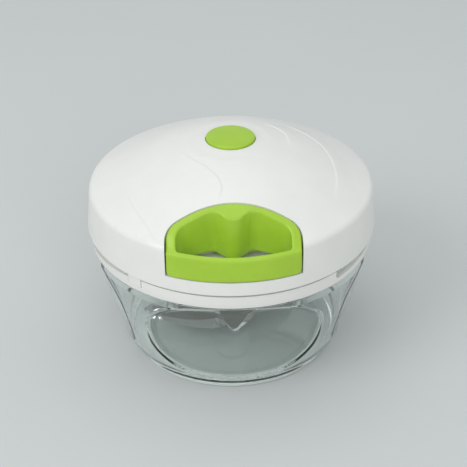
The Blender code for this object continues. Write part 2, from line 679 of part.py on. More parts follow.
def make_upper_cover(finish):
    cover = turned("upper_cover", dome_profile(0, SEAM_Z), FINE_STEPS, finish)
    cavity = turned("cover_cavity", dome_profile(COVER_WALL, SEAM_Z - OVERRUN), FINE_STEPS,
                    collection=cutters)
    recess_wall = extruded("recess_wall", recess_outline(RECESS_GAP + RECESS_WALL),
                           RECESS_FLOOR_Z - RECESS_WALL, BUTTON_TOP_Z, collection=cutters)
    boolean(cavity, recess_wall)
    well_wall = cylinder("well_wall", BUTTON_WELL + WELL_WALL, WELL_BOTTOM_Z, BUTTON_TOP_Z + OVERRUN,
                         steps=MEDIUM_STEPS)
    boolean(cavity, well_wall)
    boss_places = around(SCREW_COUNT, BOSS_CIRCLE, pi / 2)
    for i, place in enumerate(boss_places):
        boss = cylinder(f"cover_boss_{i}", COVER_BOSS_RADIUS, PLATE_TOP_Z + GAP, BUTTON_TOP_Z, place)
        boolean(cavity, boss)
    boolean(cover, cavity)
    cover = baked(cover, finish)
    outer = RING_RADIUS + TONGUE_STANDOUT
    for i, azimuth in enumerate(tongue_azimuths()):
        tongue = wedge(f"tongue_{i}", azimuth, outer - TONGUE_THICKNESS, outer, TONGUE_WIDTH,
                       SEAM_Z - TONGUE_HEIGHT, SEAM_Z + COVER_WALL / 2)
        boolean(cover, tongue, "UNION")
    recess = extruded("recess", recess_outline(RECESS_GAP), RECESS_FLOOR_Z, BUTTON_TOP_Z + OVERRUN,
                      collection=cutters)
    boolean(cover, recess)
    button_well = cylinder("button_well", BUTTON_WELL, WELL_FLOOR_Z, BUTTON_TOP_Z + OVERRUN,
                           steps=MEDIUM_STEPS)
    boolean(cover, button_well)
    stem_hole = cylinder("stem_hole", STEM_RADIUS + STEM_CLEARANCE, WELL_BOTTOM_Z - OVERRUN,
                         WELL_FLOOR_Z + OVERRUN)
    boolean(cover, stem_hole)
    guide_hole = cylinder("guide_hole", GUIDE_RADIUS + GAP, -OVERRUN - RECESS_WALL, OVERRUN)
    guide_hole.data.transform(Matrix.Translation((0, RECESS_BACK_Y, CORD_Z))
                              @ Matrix.Rotation(pi / 2, 4, "X"))
    boolean(cover, guide_hole)
    for i, place in enumerate(boss_places):
        screw_hole = cylinder(f"cover_screw_hole_{i}", SCREW_HOLE, PLATE_TOP_Z - OVERRUN,
                              SCREW_HOLE_TOP_Z, place)
        boolean(cover, screw_hole)
    return cover


def slot_stations():
    """Length along a slot and the slot's drop below the seam there, to its round end."""
    end = SLOT_LENGTH - SLOT_END_RADIUS
    fall = (SLOT_END_DROP - SLOT_START_DROP) / SLOT_LENGTH
    stations = [(run, SLOT_START_DROP + fall * run) for run in np.linspace(0, end, SWEEP_STEPS)[:-1]]
    low = SLOT_START_DROP + fall * end - SLOT_END_RADIUS
    return stations + [(end + SLOT_END_RADIUS * sin(turn), low + SLOT_END_RADIUS * cos(turn))
                       for turn in np.linspace(0, pi / 2, ARC_STEPS + 1)]


def slot_cutter(name, azimuth):
    """The slot that starts at a tongue's notch and falls away from it under the seam."""
    inner, outer = RING_RADIUS - SLOT_DEPTH, RING_RADIUS + OVERRUN
    start = azimuth - TONGUE_WIDTH / 2 / RING_RADIUS
    stations = slot_stations()
    vertices = []
    for run, drop in stations:
        angle = start - run / RING_RADIUS
        vertices += [(radius * cos(angle), radius * sin(angle), SEAM_Z - depth)
                     for radius, depth in ((inner, 0), (outer, 0), (outer, drop), (inner, drop))]
    faces = [(0, 1, 2, 3), tuple(range(len(vertices) - 4, len(vertices)))[::-1]]
    for k in range(0, len(vertices) - 4, 4):
        faces += [(k + i, k + 4 + i, k + 4 + (i + 1) % 4, k + (i + 1) % 4) for i in range(4)]
    mesh = bpy.data.meshes.new(name)
    mesh.from_pydata(vertices, [], faces)
    return add_object(name, mesh, collection=cutters)


def make_lid_base(finish):
    upstand = COVER_RADIUS - COVER_WALL - UPSTAND_CLEARANCE
    upstand_top = PLATE_TOP_Z + UPSTAND_HEIGHT
    rib = NECK_INSIDE - GAP - SEAL_WALL - GAP
    rib_bottom = PLATE_Z - SEAL_RIB_HEIGHT
    hole = JOURNAL_BORE + BUSH_WALL + GAP
    collar = JOURNAL_BORE + SHAFT_SEAL_WALL + GAP
    collar_bottom = PLATE_Z - SEAL_COLLAR_HEIGHT
    base = turned("lid_base", [
        (hole, PLATE_TOP_Z), (upstand - UPSTAND_WALL, PLATE_TOP_Z),
        (upstand - UPSTAND_WALL, upstand_top), (upstand, upstand_top),
        (upstand, SEAM_Z - GAP), (RING_RADIUS, SEAM_Z - GAP), (RING_RADIUS, RING_BOTTOM_Z),
        (RING_INSIDE, RING_BOTTOM_Z), (RING_INSIDE, PLATE_Z), (rib, PLATE_Z), (rib, rib_bottom),
        (rib - SEAL_RIB_WALL, rib_bottom), (rib - SEAL_RIB_WALL, PLATE_Z),
        (collar + SEAL_COLLAR_WALL, PLATE_Z), (collar + SEAL_COLLAR_WALL, collar_bottom),
        (collar, collar_bottom), (collar, PLATE_Z), (hole, PLATE_Z)], FINE_STEPS, finish)
    notch_floor = RING_RADIUS + TONGUE_STANDOUT - TONGUE_THICKNESS - GAP
    for i, azimuth in enumerate(tongue_azimuths()):
        notch = wedge(f"notch_{i}", azimuth, notch_floor, RING_RADIUS + OVERRUN, TONGUE_WIDTH + 2 * GAP,
                      SEAM_Z - TONGUE_HEIGHT - GAP, SEAM_Z + OVERRUN)
        boolean(base, notch)
        boolean(base, slot_cutter(f"slot_{i}", azimuth))
    for label, circle in (("leg", LEG_CIRCLE), ("boss", BOSS_CIRCLE)):
        for i, place in enumerate(around(SCREW_COUNT, circle, pi / 2)):
            screw_hole = cylinder(f"base_{label}_hole_{i}", SCREW_HOLE, PLATE_Z - OVERRUN,
                                  PLATE_TOP_Z + OVERRUN, place)
            boolean(base, screw_hole)
    return base


def make_seal_ring(finish):
    """Silicone ring with a lip that closes against the bowl's neck."""
    outer = NECK_INSIDE - GAP
    top, bottom = PLATE_Z - GAP, PLATE_Z - SEAL_RIB_HEIGHT + GAP
    lip = (top - bottom) / 3
    inner, slim = outer - SEAL_WALL, outer - SEAL_WALL / 4
    return turned("seal_ring", [(inner, top), (slim, top), (outer, top - lip), (outer, bottom + lip),
                                (slim, bottom), (inner, bottom)], FINE_STEPS, finish)


def make_screws(name, circle, finish):
    head_top = PLATE_Z - GAP
    for i, place in enumerate(around(SCREW_COUNT, circle, pi / 2)):
        screw = turned(f"{name}_{i + 1}", [
            (0, PLATE_Z + SCREW_LENGTH), (SCREW_RADIUS, PLATE_Z + SCREW_LENGTH), (SCREW_RADIUS, head_top),
            (SCREW_HEAD_RADIUS, head_top), (SCREW_HEAD_RADIUS, head_top - SCREW_HEAD / 2),
            (SCREW_HEAD_RADIUS * 3 / 4, head_top - SCREW_HEAD), (0, head_top - SCREW_HEAD)],
            COARSE_STEPS, finish)
        screw.data.transform(Matrix.Translation((*place, 0)))


# Handle

def handle_profile():
    """Profile of the handle's top: over the dome, then down to the lower front bar."""
    bar_inside = COVER_RADIUS - HANDLE_BAR
    crest = bar_inside - HANDLE_FALL_RUN
    bar_z = CORNER_Z - HANDLE_BAR_DROP
    front_z = bar_z - HANDLE_BAR_SLOPE
    front = COVER_RADIUS - SKIRT_DRAFT / CORNER_RISE * (front_z - SEAM_Z)
    over_dome = [(crest * share, dome_z(crest * share), 0) for share in np.linspace(0, 1, DOME_ROWS)[:-1]]
    return rounded(over_dome + [
        (crest, dome_z(crest), HANDLE_TOP_RADIUS), (bar_inside, bar_z, HANDLE_TOP_RADIUS),
        (front, front_z, HANDLE_EDGE), (COVER_RADIUS, SEAM_Z, 0), (0, SEAM_Z, 0)])


def handle_hole_outline():
    """Plan of the finger hole: two lobes at the back, a bar that follows the skirt in front."""
    side = HANDLE_HALF_WIDTH - HANDLE_SIDE
    bar = COVER_RADIUS - HANDLE_BAR
    front_xs = side * np.linspace(-HOLE_FRONT_SHARE, HOLE_FRONT_SHARE, SWEEP_STEPS)
    front = [(x, -sqrt(bar ** 2 - x ** 2), 0) for x in front_xs]
    front_y = -sqrt(bar ** 2 - side ** 2)
    depth = HANDLE_BACK_Y - HANDLE_REAR - front_y
    right = [(side, front_y, HOLE_FRONT_RADIUS),
             (side, front_y + depth * HOLE_SHOULDER_SHARE, HOLE_SHOULDER_RADIUS),
             (LOBE_X, front_y + depth * LOBE_SHARE, LOBE_RADIUS)]
    left = [(-x, y, radius) for x, y, radius in reversed(right)]
    boss = [(0, front_y + depth * BOSS_TIP_SHARE, BOSS_RADIUS)]
    return rounded(front + right + boss + left)


def make_handle(finish):
    handle = extruded("handle", recess_outline(0), HANDLE_Z, BUTTON_TOP_Z, finish)
    envelope = turned("handle_envelope", handle_profile(), FINE_STEPS, collection=cutters)
    boolean(handle, envelope, "INTERSECT")
    hole = extruded("finger_hole", handle_hole_outline(), HANDLE_Z - OVERRUN,
                    BUTTON_TOP_Z + OVERRUN, collection=cutters)
    boolean(handle, hole)
    undercut_front = -COVER_RADIUS + HANDLE_BAR * 2
    undercut = block("handle_undercut", (-HANDLE_HALF_WIDTH - OVERRUN, undercut_front,
                                         HANDLE_Z - OVERRUN),
                     (HANDLE_HALF_WIDTH + OVERRUN, HANDLE_BACK_Y + OVERRUN, HANDLE_Z + HANDLE_UNDERCUT))
    boolean(handle, undercut)
    knot_y = HANDLE_BACK_Y - KNOT_INSET
    pocket = cylinder("knot_pocket", KNOT_RADIUS + GAP, HANDLE_Z - OVERRUN, POCKET_TOP_Z, (0, knot_y))
    boolean(handle, pocket)
    bore = cylinder("cord_bore", CORD_RADIUS + GAP, -KNOT_INSET, OVERRUN)
    bore.data.transform(Matrix.Translation((0, HANDLE_BACK_Y, CORD_Z)) @ Matrix.Rotation(-pi / 2, 4, "X"))
    boolean(handle, bore)
    return handle


def make_cord_knot(finish):
    """The knotted end of the cord, which pulls on the handle's boss."""
    knot_y = HANDLE_BACK_Y - KNOT_INSET
    neck_angle = asin(CORD_RADIUS / KNOT_RADIUS)
    angles = np.linspace(neck_angle, pi, KNOT_ROWS)[:-1]
    outline = [(0, KNOT_INSET - GAP), (CORD_RADIUS, KNOT_INSET - GAP)]
    outline += [(KNOT_RADIUS * sin(a), KNOT_RADIUS * cos(a)) for a in angles]
    outline.append((0, -KNOT_RADIUS))
    knot = turned("cord_knot", outline, COARSE_STEPS, finish)
    knot.data.transform(Matrix.Translation((0, knot_y, CORD_Z)) @ Matrix.Rotation(-pi / 2, 4, "X"))
    return knot


# Cord and spool

def make_cord_guide(finish):
    """Eyelet in the recess's back wall, its flange on the inside."""
    shoulder = RECESS_WALL + GAP
    flange = GUIDE_RADIUS + GUIDE_FLANGE_WIDTH
    guide = turned("cord_guide", [
        (GUIDE_BORE, shoulder + GUIDE_FLANGE), (flange, shoulder + GUIDE_FLANGE), (flange, shoulder),
        (GUIDE_RADIUS, shoulder), (GUIDE_RADIUS, GAP), (GUIDE_BORE, GAP)], COARSE_STEPS, finish)
    guide.data.transform(Matrix.Translation((0, RECESS_BACK_Y, CORD_Z)) @ Matrix.Rotation(-pi / 2, 4, "X"))
    return guide


def cord_route():
    """One layer of turns on the spool, then a straight run out through the guide."""
    inside_y = RECESS_BACK_Y + RECESS_WALL + 2 * GUIDE_FLANGE
    leave = -pi / 2 - acos(WINDING_RADIUS / -inside_y)
    start_z = GROOVE_Z + GAP + CORD_RADIUS
    route = []
    for i in range(round(CORD_TURNS * CORD_POINTS_PER_TURN), -1, -1):
        turns = i / CORD_POINTS_PER_TURN
        angle = leave - 2 * pi * turns
        route.append(Vector((WINDING_RADIUS * cos(angle), WINDING_RADIUS * sin(angle),
                             start_z + CORD_PITCH * turns)))
    leaving, inside = route[-1], Vector((0, inside_y, CORD_Z))
    for i in range(1, CORD_RUN_POINTS + 1):
        share = i / CORD_RUN_POINTS
        rise = share ** 3 * (4 - 3 * share)
        point = leaving.lerp(inside, share)
        point.z = leaving.z + (inside.z - leaving.z) * rise
        route.append(point)
    route.append(Vector((0, HANDLE_BACK_Y + GAP / 2, CORD_Z)))
    return route


def make_pull_cord(finish):
    route = cord_route()
    print_own_gap("pull_cord", route, CORD_RADIUS, CORD_POINTS_PER_TURN)
    return tube("pull_cord", route, CORD_RADIUS, finish)


def make_cord_spool(finish):
    """Spring chamber, cord groove, lower flange and the skirt round the ratchet."""
    flange = CHAMBER_RADIUS - SPOOL_FLANGE_STEP
    skirt = CLUTCH_INSIDE + CLUTCH_SKIRT_WALL
    skirt_z = SPOOL_WEB_Z - CLUTCH_SKIRT_HEIGHT
    spool = turned("cord_spool", [
        (CHAMBER_INSIDE, CHAMBER_TOP_Z), (CHAMBER_RADIUS, CHAMBER_TOP_Z), (CHAMBER_RADIUS, GROOVE_TOP_Z),
        (SPOOL_CORE_RADIUS, GROOVE_TOP_Z), (SPOOL_CORE_RADIUS, GROOVE_Z), (flange, GROOVE_Z),
        (flange, SPOOL_WEB_Z), (skirt, SPOOL_WEB_Z), (skirt, skirt_z), (CLUTCH_INSIDE, skirt_z),
        (CLUTCH_INSIDE, SPOOL_WEB_Z), (PIN_BORE, SPOOL_WEB_Z), (PIN_BORE, CHAMBER_Z),
        (CHAMBER_INSIDE, CHAMBER_Z)], MEDIUM_STEPS, finish)
    for i, place in enumerate(around(PAWL_COUNT, PAWL_CIRCLE, 0)):
        pin_hole = cylinder(f"pawl_pin_hole_{i}", PAWL_PIN_RADIUS + GAP, SPOOL_WEB_Z - OVERRUN,
                            GROOVE_Z + GAP, place, steps=PIN_STEPS)
        boolean(spool, pin_hole)
    return spool


def make_spring_cover(finish):
    inner = ARBOR_RADIUS + ARBOR_CLEARANCE
    return turned("spring_cover", [(inner, SPRING_COVER_TOP_Z), (CHAMBER_RADIUS, SPRING_COVER_TOP_Z),
                                   (CHAMBER_RADIUS, SPRING_COVER_Z), (inner, SPRING_COVER_Z)],
                  MEDIUM_STEPS, finish)


def make_recoil_spring(finish):
    """A flat spiral strip from the fixed arbor to the wall of the spool's chamber."""
    inner = ARBOR_RADIUS + GAP
    outer = CHAMBER_INSIDE - GAP - SPRING_STRIP
    count = int(SPRING_TURNS * SPRING_POINTS_PER_TURN)
    inside, outside = [], []
    for i in range(count + 1):
        share = i / count
        angle = 2 * pi * SPRING_TURNS * share
        radius = inner + (outer - inner) * share
        inside.append((radius * cos(angle), radius * sin(angle)))
        radius += SPRING_STRIP
        outside.append((radius * cos(angle), radius * sin(angle)))
    return extruded("recoil_spring", inside + outside[::-1], CHAMBER_Z + GAP, CHAMBER_TOP_Z - GAP, finish)


def make_mechanism_frame(finish):
    """A plate on three legs that holds the axle and the spring's arbor over the spool."""
    arbor_bottom = CHAMBER_Z + GAP
    frame = turned("mechanism_frame", [
        (PIN_BORE, FRAME_TOP_Z), (FRAME_RADIUS, FRAME_TOP_Z), (FRAME_RADIUS, FRAME_Z),
        (ARBOR_RADIUS, FRAME_Z), (ARBOR_RADIUS, arbor_bottom), (PIN_BORE, arbor_bottom)],
        MEDIUM_STEPS, finish)
    leg_places = around(SCREW_COUNT, LEG_CIRCLE, pi / 2)
    for i, place in enumerate(leg_places):
        leg = cylinder(f"frame_leg_{i}", LEG_RADIUS, PLATE_TOP_Z + GAP, FRAME_TOP_Z - FRAME_THICKNESS / 2,
                       place)
        boolean(frame, leg, "UNION")
    for i, place in enumerate(leg_places):
        screw_hole = cylinder(f"frame_screw_hole_{i}", SCREW_HOLE, PLATE_TOP_Z - OVERRUN,
                              SCREW_HOLE_TOP_Z, place)
        boolean(frame, screw_hole)
    return frame


def make_axle_pin(finish):
    return cylinder("axle_pin", PIN_RADIUS, AXLE_BOTTOM_Z, FRAME_TOP_Z - GAP, finish=finish,
                    collection=parts)


def make_thrust_washer(finish):
    outer = PIN_BORE + WASHER_WIDTH
    bottom = WHEEL_TOP_Z + GAP
    top = bottom + WASHER_THICKNESS
    return turned("thrust_washer", [(PIN_BORE, top), (outer, top), (outer, bottom), (PIN_BORE, bottom)],
                  COARSE_STEPS, finish)


# Ratchet, pawls and drive shaft

def ratchet_outline():
    """Saw teeth whose steep faces take the push of pawls that turn anticlockwise."""
    outline = []
    pitch = 2 * pi / RATCHET_TEETH
    for i in range(RATCHET_TEETH):
        face = PAWL_TIP_ANGLE + i * pitch + GAP / PAWL_TIP_RADIUS
        outline.append((RATCHET_ROOT_RADIUS, face))
        outline.append((RATCHET_TIP_RADIUS, face + GAP / RATCHET_TIP_RADIUS))
        outline.append((RATCHET_TIP_RADIUS, face + pitch / 5))
        outline.append(((RATCHET_TIP_RADIUS + RATCHET_ROOT_RADIUS) / 2, face + pitch / 2))
    return [(radius * cos(angle), radius * sin(angle)) for radius, angle in outline]


def make_drive_shaft(finish):
    """Ratchet wheel above the lid's plate, journal through it and hexagon below it."""
    wheel = extruded("drive_shaft", ratchet_outline(), WHEEL_Z, WHEEL_TOP_Z, finish)
    journal = cylinder("shaft_journal", JOURNAL_RADIUS, HEX_TOP_Z, WHEEL_TOP_Z - RATCHET_THICKNESS / 2,
                       steps=MEDIUM_STEPS)
    boolean(wheel, journal, "UNION")
    hexagon = cylinder("shaft_hexagon", HEX_ACROSS / 2 / cos(pi / 6), HEX_BOTTOM_Z,
                       HEX_TOP_Z + OVERRUN, steps=6)
    boolean(wheel, hexagon, "UNION")
    bore = cylinder("shaft_bore", PIN_BORE, AXLE_BOTTOM_Z - GAP, WHEEL_TOP_Z + OVERRUN)
    boolean(wheel, bore)
    return wheel


def pawl_outline():
    """An arm from its eye at the pawl circle to a blunt tip behind a ratchet tooth."""
    pivot = Vector((PAWL_CIRCLE, 0))
    tip = Vector((PAWL_TIP_RADIUS * cos(PAWL_TIP_ANGLE), PAWL_TIP_RADIUS * sin(PAWL_TIP_ANGLE)))
    along = (tip - pivot).normalized()
    outer_tip = Vector(((PAWL_TIP_RADIUS + PAWL_TIP_WIDTH) * cos(PAWL_TIP_ANGLE),
                        (PAWL_TIP_RADIUS + PAWL_TIP_WIDTH) * sin(PAWL_TIP_ANGLE)))
    eye_angle = np.arctan2(along.y, along.x)
    eye = []
    for angle in np.linspace(eye_angle + PAWL_EYE_OPENING, eye_angle + 2 * pi - PAWL_EYE_OPENING, PIN_STEPS):
        eye.append(tuple(pivot + PAWL_EYE_RADIUS * Vector((cos(angle), sin(angle)))))
    return eye + [tuple(outer_tip), tuple(tip), tuple(tip - along * PAWL_TIP_WIDTH)]


def make_pawls(finish):
    bottom = WHEEL_Z + GAP
    top = WHEEL_TOP_Z - GAP
    for i, place in enumerate(around(PAWL_COUNT, PAWL_CIRCLE, 0)):
        name = f"pawl_{i + 1}"
        pawl = extruded(name, pawl_outline(), bottom, top, finish)
        bore = cylinder(name + "_bore", PAWL_PIN_RADIUS + GAP, bottom - OVERRUN, top + OVERRUN,
                        (PAWL_CIRCLE, 0), steps=PIN_STEPS)
        boolean(pawl, bore)
        pawl = baked(pawl, finish)
        turn_mesh(pawl, 2 * pi * i / PAWL_COUNT)
        set_origin(pawl, (*place, 0))


def make_pawl_pins(finish):
    for i, place in enumerate(around(PAWL_COUNT, PAWL_CIRCLE, 0)):
        cylinder(f"pawl_pin_{i + 1}", PAWL_PIN_RADIUS, WHEEL_Z + GAP, GROOVE_Z - GAP, place,
                 steps=PIN_STEPS, finish=finish, collection=parts)


def make_shaft_bush(finish):
    flange_z = PLATE_TOP_Z + GAP
    outer = JOURNAL_BORE + BUSH_WALL
    flange = outer + BUSH_FLANGE_WIDTH
    return turned("shaft_bush", [
        (JOURNAL_BORE, flange_z + BUSH_FLANGE), (flange, flange_z + BUSH_FLANGE), (flange, flange_z),
        (outer, flange_z), (outer, PLATE_Z + GAP), (JOURNAL_BORE, PLATE_Z + GAP)], MEDIUM_STEPS, finish)


def make_shaft_seal(finish):
    outer = JOURNAL_BORE + SHAFT_SEAL_WALL
    top = PLATE_Z - GAP
    bottom = top - SHAFT_SEAL_HEIGHT
    return turned("shaft_seal", [
        (JOURNAL_BORE, top), (outer, top), (outer, bottom), (outer - SHAFT_SEAL_WALL / 2, bottom),
        (JOURNAL_BORE, bottom + SHAFT_SEAL_HEIGHT / 2)], MEDIUM_STEPS, finish)


# Button

def make_button(finish):
    """Crowned disc on a stem whose head holds the plug of the vent."""
    stem_head = STEM_RADIUS + STEM_HEAD_WIDTH
    head_top = STEM_BOTTOM_Z + STEM_HEAD
    crown_shares = (0, 0.35, 0.7)
    crown = [(BUTTON_RADIUS * share, BUTTON_TOP_Z - BUTTON_CROWN * share ** 2, 0) for share in crown_shares]
    outline = rounded(crown + [
        (BUTTON_RADIUS, BUTTON_TOP_Z - BUTTON_CROWN, BUTTON_FILLET), (BUTTON_RADIUS, BUTTON_Z, 0),
        (STEM_RADIUS, BUTTON_Z, 0), (STEM_RADIUS, head_top, 0), (stem_head, head_top, 0),
        (stem_head, STEM_BOTTOM_Z, 0), (0, STEM_BOTTOM_Z, 0)])
    return turned("button", outline, MEDIUM_STEPS, finish)


def make_vent_plug(finish):
    inner = STEM_RADIUS + GAP
    top = PLUG_Z + PLUG_THICKNESS
    return turned("vent_plug", [(inner, top), (PLUG_RADIUS, top), (PLUG_RADIUS, PLUG_Z),
                                (inner, PLUG_Z)], COARSE_STEPS, finish)


def make_button_spring(finish):
    bottom = WELL_FLOOR_Z + GAP + RETURN_WIRE_RADIUS
    top = BUTTON_Z - GAP - RETURN_WIRE_RADIUS
    count = RETURN_CURLS * RETURN_POINTS_PER_CURL
    points = []
    for i in range(count + 1):
        angle = 2 * pi * RETURN_CURLS * i / count
        points.append((RETURN_SPRING_RADIUS * cos(angle), RETURN_SPRING_RADIUS * sin(angle),
                       bottom + (top - bottom) * i / count))
    print_own_gap("button_spring", points, RETURN_WIRE_RADIUS, RETURN_POINTS_PER_CURL)
    return tube("button_spring", points, RETURN_WIRE_RADIUS, finish)


# The whole chopper

white = material("white_plastic", WHITE, 0.35)
green = material("green_plastic", GREEN, 0.35)
clear = material("clear_plastic", CLEAR, 0.05, alpha=0.35)
milky = material("silicone", MILKY, 0.6, alpha=0.8)
steel = material("stainless_steel", STEEL, 0.25, 1.0)
grey = material("grey_plastic", GREY, 0.5)
cord = material("braided_cord", WHITE, 0.8)

make_bowl(clear)
make_foot_ring(milky)
make_spindle_pin(steel)
make_blade_unit(steel, grey)
make_upper_cover(white)
make_lid_base(white)
make_seal_ring(milky)
make_screws("cover_screw", BOSS_CIRCLE, steel)
make_screws("frame_screw", LEG_CIRCLE, steel)
make_handle(green)
make_cord_knot(cord)
make_cord_guide(steel)
make_pull_cord(cord)
make_cord_spool(grey)
make_spring_cover(grey)
make_recoil_spring(steel)
make_mechanism_frame(white)
make_axle_pin(steel)
make_thrust_washer(steel)
make_drive_shaft(grey)
make_pawls(steel)
make_pawl_pins(steel)
make_shaft_bush(grey)
make_shaft_seal(milky)
make_button(green)
make_vent_plug(milky)
make_button_spring(steel)
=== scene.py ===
"""Looks of the hand-pulled vegetable chopper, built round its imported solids.

Metres, +Z up. The origin is the centre of the foot, and the pull handle is on the -Y side.
What shows or flexes is rebuilt finely in the place of its solid, and the other pieces keep theirs.
"""
from math import acos, atan2, cos, pi, radians, sin, sqrt, tan

import bmesh
import bpy
import numpy as np
from mathutils import Matrix, Vector


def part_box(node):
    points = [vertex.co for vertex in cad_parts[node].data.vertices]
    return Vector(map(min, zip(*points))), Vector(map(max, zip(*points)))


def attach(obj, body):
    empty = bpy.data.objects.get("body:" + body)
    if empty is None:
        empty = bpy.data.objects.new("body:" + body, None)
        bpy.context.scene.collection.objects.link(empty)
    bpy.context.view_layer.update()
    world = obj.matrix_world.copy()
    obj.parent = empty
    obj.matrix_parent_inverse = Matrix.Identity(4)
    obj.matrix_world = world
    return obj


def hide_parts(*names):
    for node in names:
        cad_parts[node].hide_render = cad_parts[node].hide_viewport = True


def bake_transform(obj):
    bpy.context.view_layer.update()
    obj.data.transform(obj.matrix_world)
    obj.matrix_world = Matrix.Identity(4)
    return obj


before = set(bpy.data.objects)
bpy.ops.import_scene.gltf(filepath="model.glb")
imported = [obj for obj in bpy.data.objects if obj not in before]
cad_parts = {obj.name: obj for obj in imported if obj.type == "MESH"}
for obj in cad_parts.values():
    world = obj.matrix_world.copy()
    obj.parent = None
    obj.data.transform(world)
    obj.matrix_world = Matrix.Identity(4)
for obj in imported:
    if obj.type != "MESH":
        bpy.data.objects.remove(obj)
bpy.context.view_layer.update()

MM = 0.001
GAP = 0.3 * MM
OVERRUN = 2.0 * MM            # of a cutter beyond what it cuts
MOULDED_EDGE = 0.3 * MM       # radius of a moulded piece's small edges
FINE_EDGE = 0.2 * MM
FOOT_EDGE = 0.4 * MM
MERGE_DISTANCE = 0.002 * MM

# Sizes that the solids give
BOWL_LOW, BOWL_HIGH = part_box("bowl")
RING_LOW, RING_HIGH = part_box("lid_base")
COVER_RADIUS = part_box("upper_cover")[1].x
HANDLE_LOW, HANDLE_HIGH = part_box("handle")
BUTTON_LOW, BUTTON_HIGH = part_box("button")
HUB_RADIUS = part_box("hub_cap")[1].x
SHOULDER_RADIUS = BOWL_HIGH.x
FOOT_Z, RIM_Z = BOWL_LOW.z, BOWL_HIGH.z
RING_RADIUS = RING_HIGH.x
BUTTON_RADIUS = BUTTON_HIGH.x
HANDLE_HALF_WIDTH = HANDLE_HIGH.x
HANDLE_BACK_Y = HANDLE_HIGH.y

# Bowl
FOOT_RADIUS = 47.3 * MM
SHOULDER_Z = 54.4 * MM
SIDE_POWER = 1.9
BOWL_WALL = 2.3 * MM
NECK_STEP = 1.6 * MM
NECK_WALL = 2.5 * MM
NECK_BLEND = 4.0 * MM
FOOT_LAND = 3.4 * MM
RING_CONTACT = 0.03 * MM      # overlap that bonds the foot ring on, so that the wall above it glows
RING_SETBACK = 0.6 * MM       # of the foot ring from the wall's outside
RING_LIP = 1.3 * MM
UNDERSIDE_RISE = 1.1 * MM
FLOOR_THICKNESS = 2.4 * MM
POST_RADIUS = 3.5 * MM
POST_BASE_RADIUS = 6.4 * MM
POST_HEIGHT = 3.0 * MM
POST_FILLET = 1.0 * MM
FLOOR_FILLET = 4.0 * MM
RIM_EDGE = 0.5 * MM
SHOULDER_EDGE = 0.4 * MM
INNER_SIDE_START = 5.0 * MM   # above the floor
OUTER_SIDE_START = 2.5 * MM   # above the foot
OUTER_SIDE_END = 0.6 * MM     # below the shoulder
PIN_RADIUS = 2.0 * MM
PIN_SINK = 5.1 * MM
PANEL_COUNT = 4
PANEL_POWER = 2.6
PANEL_OUTLINE = (30.5 * MM, 23.5 * MM, radians(39.5))  # middle's height, half height, half angle
PANEL_FLAT = (31.3 * MM, 21.3 * MM, radians(35.3))
PANEL_BEVEL = 1.5 * MM        # depth that is gained between the two outlines
PANEL_LEAST_WIDTH = 0.01      # of the bevel, as a share of the oval
PANEL_DISH = 1.1 * MM
SIDE_ROWS = 140
BOWL_STEPS = 640

# Lid
SEAM_Z = 62.0 * MM
SEAM_GROOVE = (1.0 * MM, 1.2 * MM)  # height of its mouth, depth
SEAM_POCKET = 0.7 * MM        # how far its floor lies below its mouth
SLOT_LENGTH = 36.5 * MM       # of the slot in the ring's top, left of each tongue
SLOT_DEPTH = 2.4 * MM
SLOT_START_DROP = 2.2 * MM    # below the seam, beside the tongue
SLOT_END_DROP = 5.2 * MM
SLOT_END_RADIUS = 1.8 * MM
SLOT_ROWS = 24
SLOT_END_ROWS = 9
SKIRT_DRAFT = 1.7 * MM
CORNER_RISE = 18.6 * MM
CORNER_FILLET = 3.4 * MM
DOME_BOW_SHARE = 1.248
BUTTON_PROUD = 0.8 * MM
COVER_WALL = 2.2 * MM
SKIRT_FILLET = 0.4 * MM
DISH_RADIUS = 18.5 * MM
DISH_LIP = 3.5 * MM
DISH_DEPTH = 0.3 * MM
DOME_ROWS = 56
CORNER_ROWS = 4               # of the dome's rows, left out for the corner's arc
RELIEF_HEIGHT = 0.32 * MM
RELIEF_STEP = 0.9 * MM
RELIEF_FADE = 9.0 * MM
RELIEF_SINK = 0.6 * MM        # how far its underside lies below the dome's surface
RELIEF_CONTACT = 0.03 * MM    # how far its top starts below the dome's surface
RELIEF_REACH = 62.6 * MM      # from the axis
RELIEF_TAPER = 0.22           # of its length, at either end
STEP_ROWS = 7
FADE_ROWS = 12
SWIRL_POINTS = 10             # for each stretch of a swirl
TONGUE_COUNT = 3
TONGUE_AZIMUTH = radians(-131)
TONGUE_WIDTH = 7.2 * MM
TONGUE_HEIGHT = 4.6 * MM
TONGUE_THICKNESS = 0.9 * MM
TONGUE_STANDOUT = 0.2 * MM
WELL_WALL = 1.7 * MM
WELL_DEPTH = 7.0 * MM         # from the dome's top to the well's floor
STEM_HOLE = 3.0 * MM
RING_FILLET = 0.6 * MM
POCKET_EDGE = 0.05 * MM
GROOVE_EDGE = 0.15 * MM
RING_WALL = 1.8 * MM
PLATE_Z = 58.6 * MM
PLATE_THICKNESS = 2.0 * MM
UPSTAND_WALL = 1.6 * MM
UPSTAND_CLEARANCE = 0.5 * MM
SEAL_RIB_HEIGHT = 3.0 * MM
SEAL_RIB_WALL = 1.5 * MM
SEAL_ROOM = 2.2 * MM
COLLAR_INSIDE = 9.0 * MM
COLLAR_WALL = 1.6 * MM
COLLAR_HEIGHT = 2.6 * MM
BUSH_HOLE = 8.2 * MM
LEG_CIRCLE = 33.0 * MM
BOSS_CIRCLE = 52.4 * MM
BOSS_RADIUS = 3.5 * MM
SCREW_HOLE = 1.5 * MM
SCREW_HOLE_TOP = 9.3 * MM     # above the plate's underside
SCREW_COUNT = 3

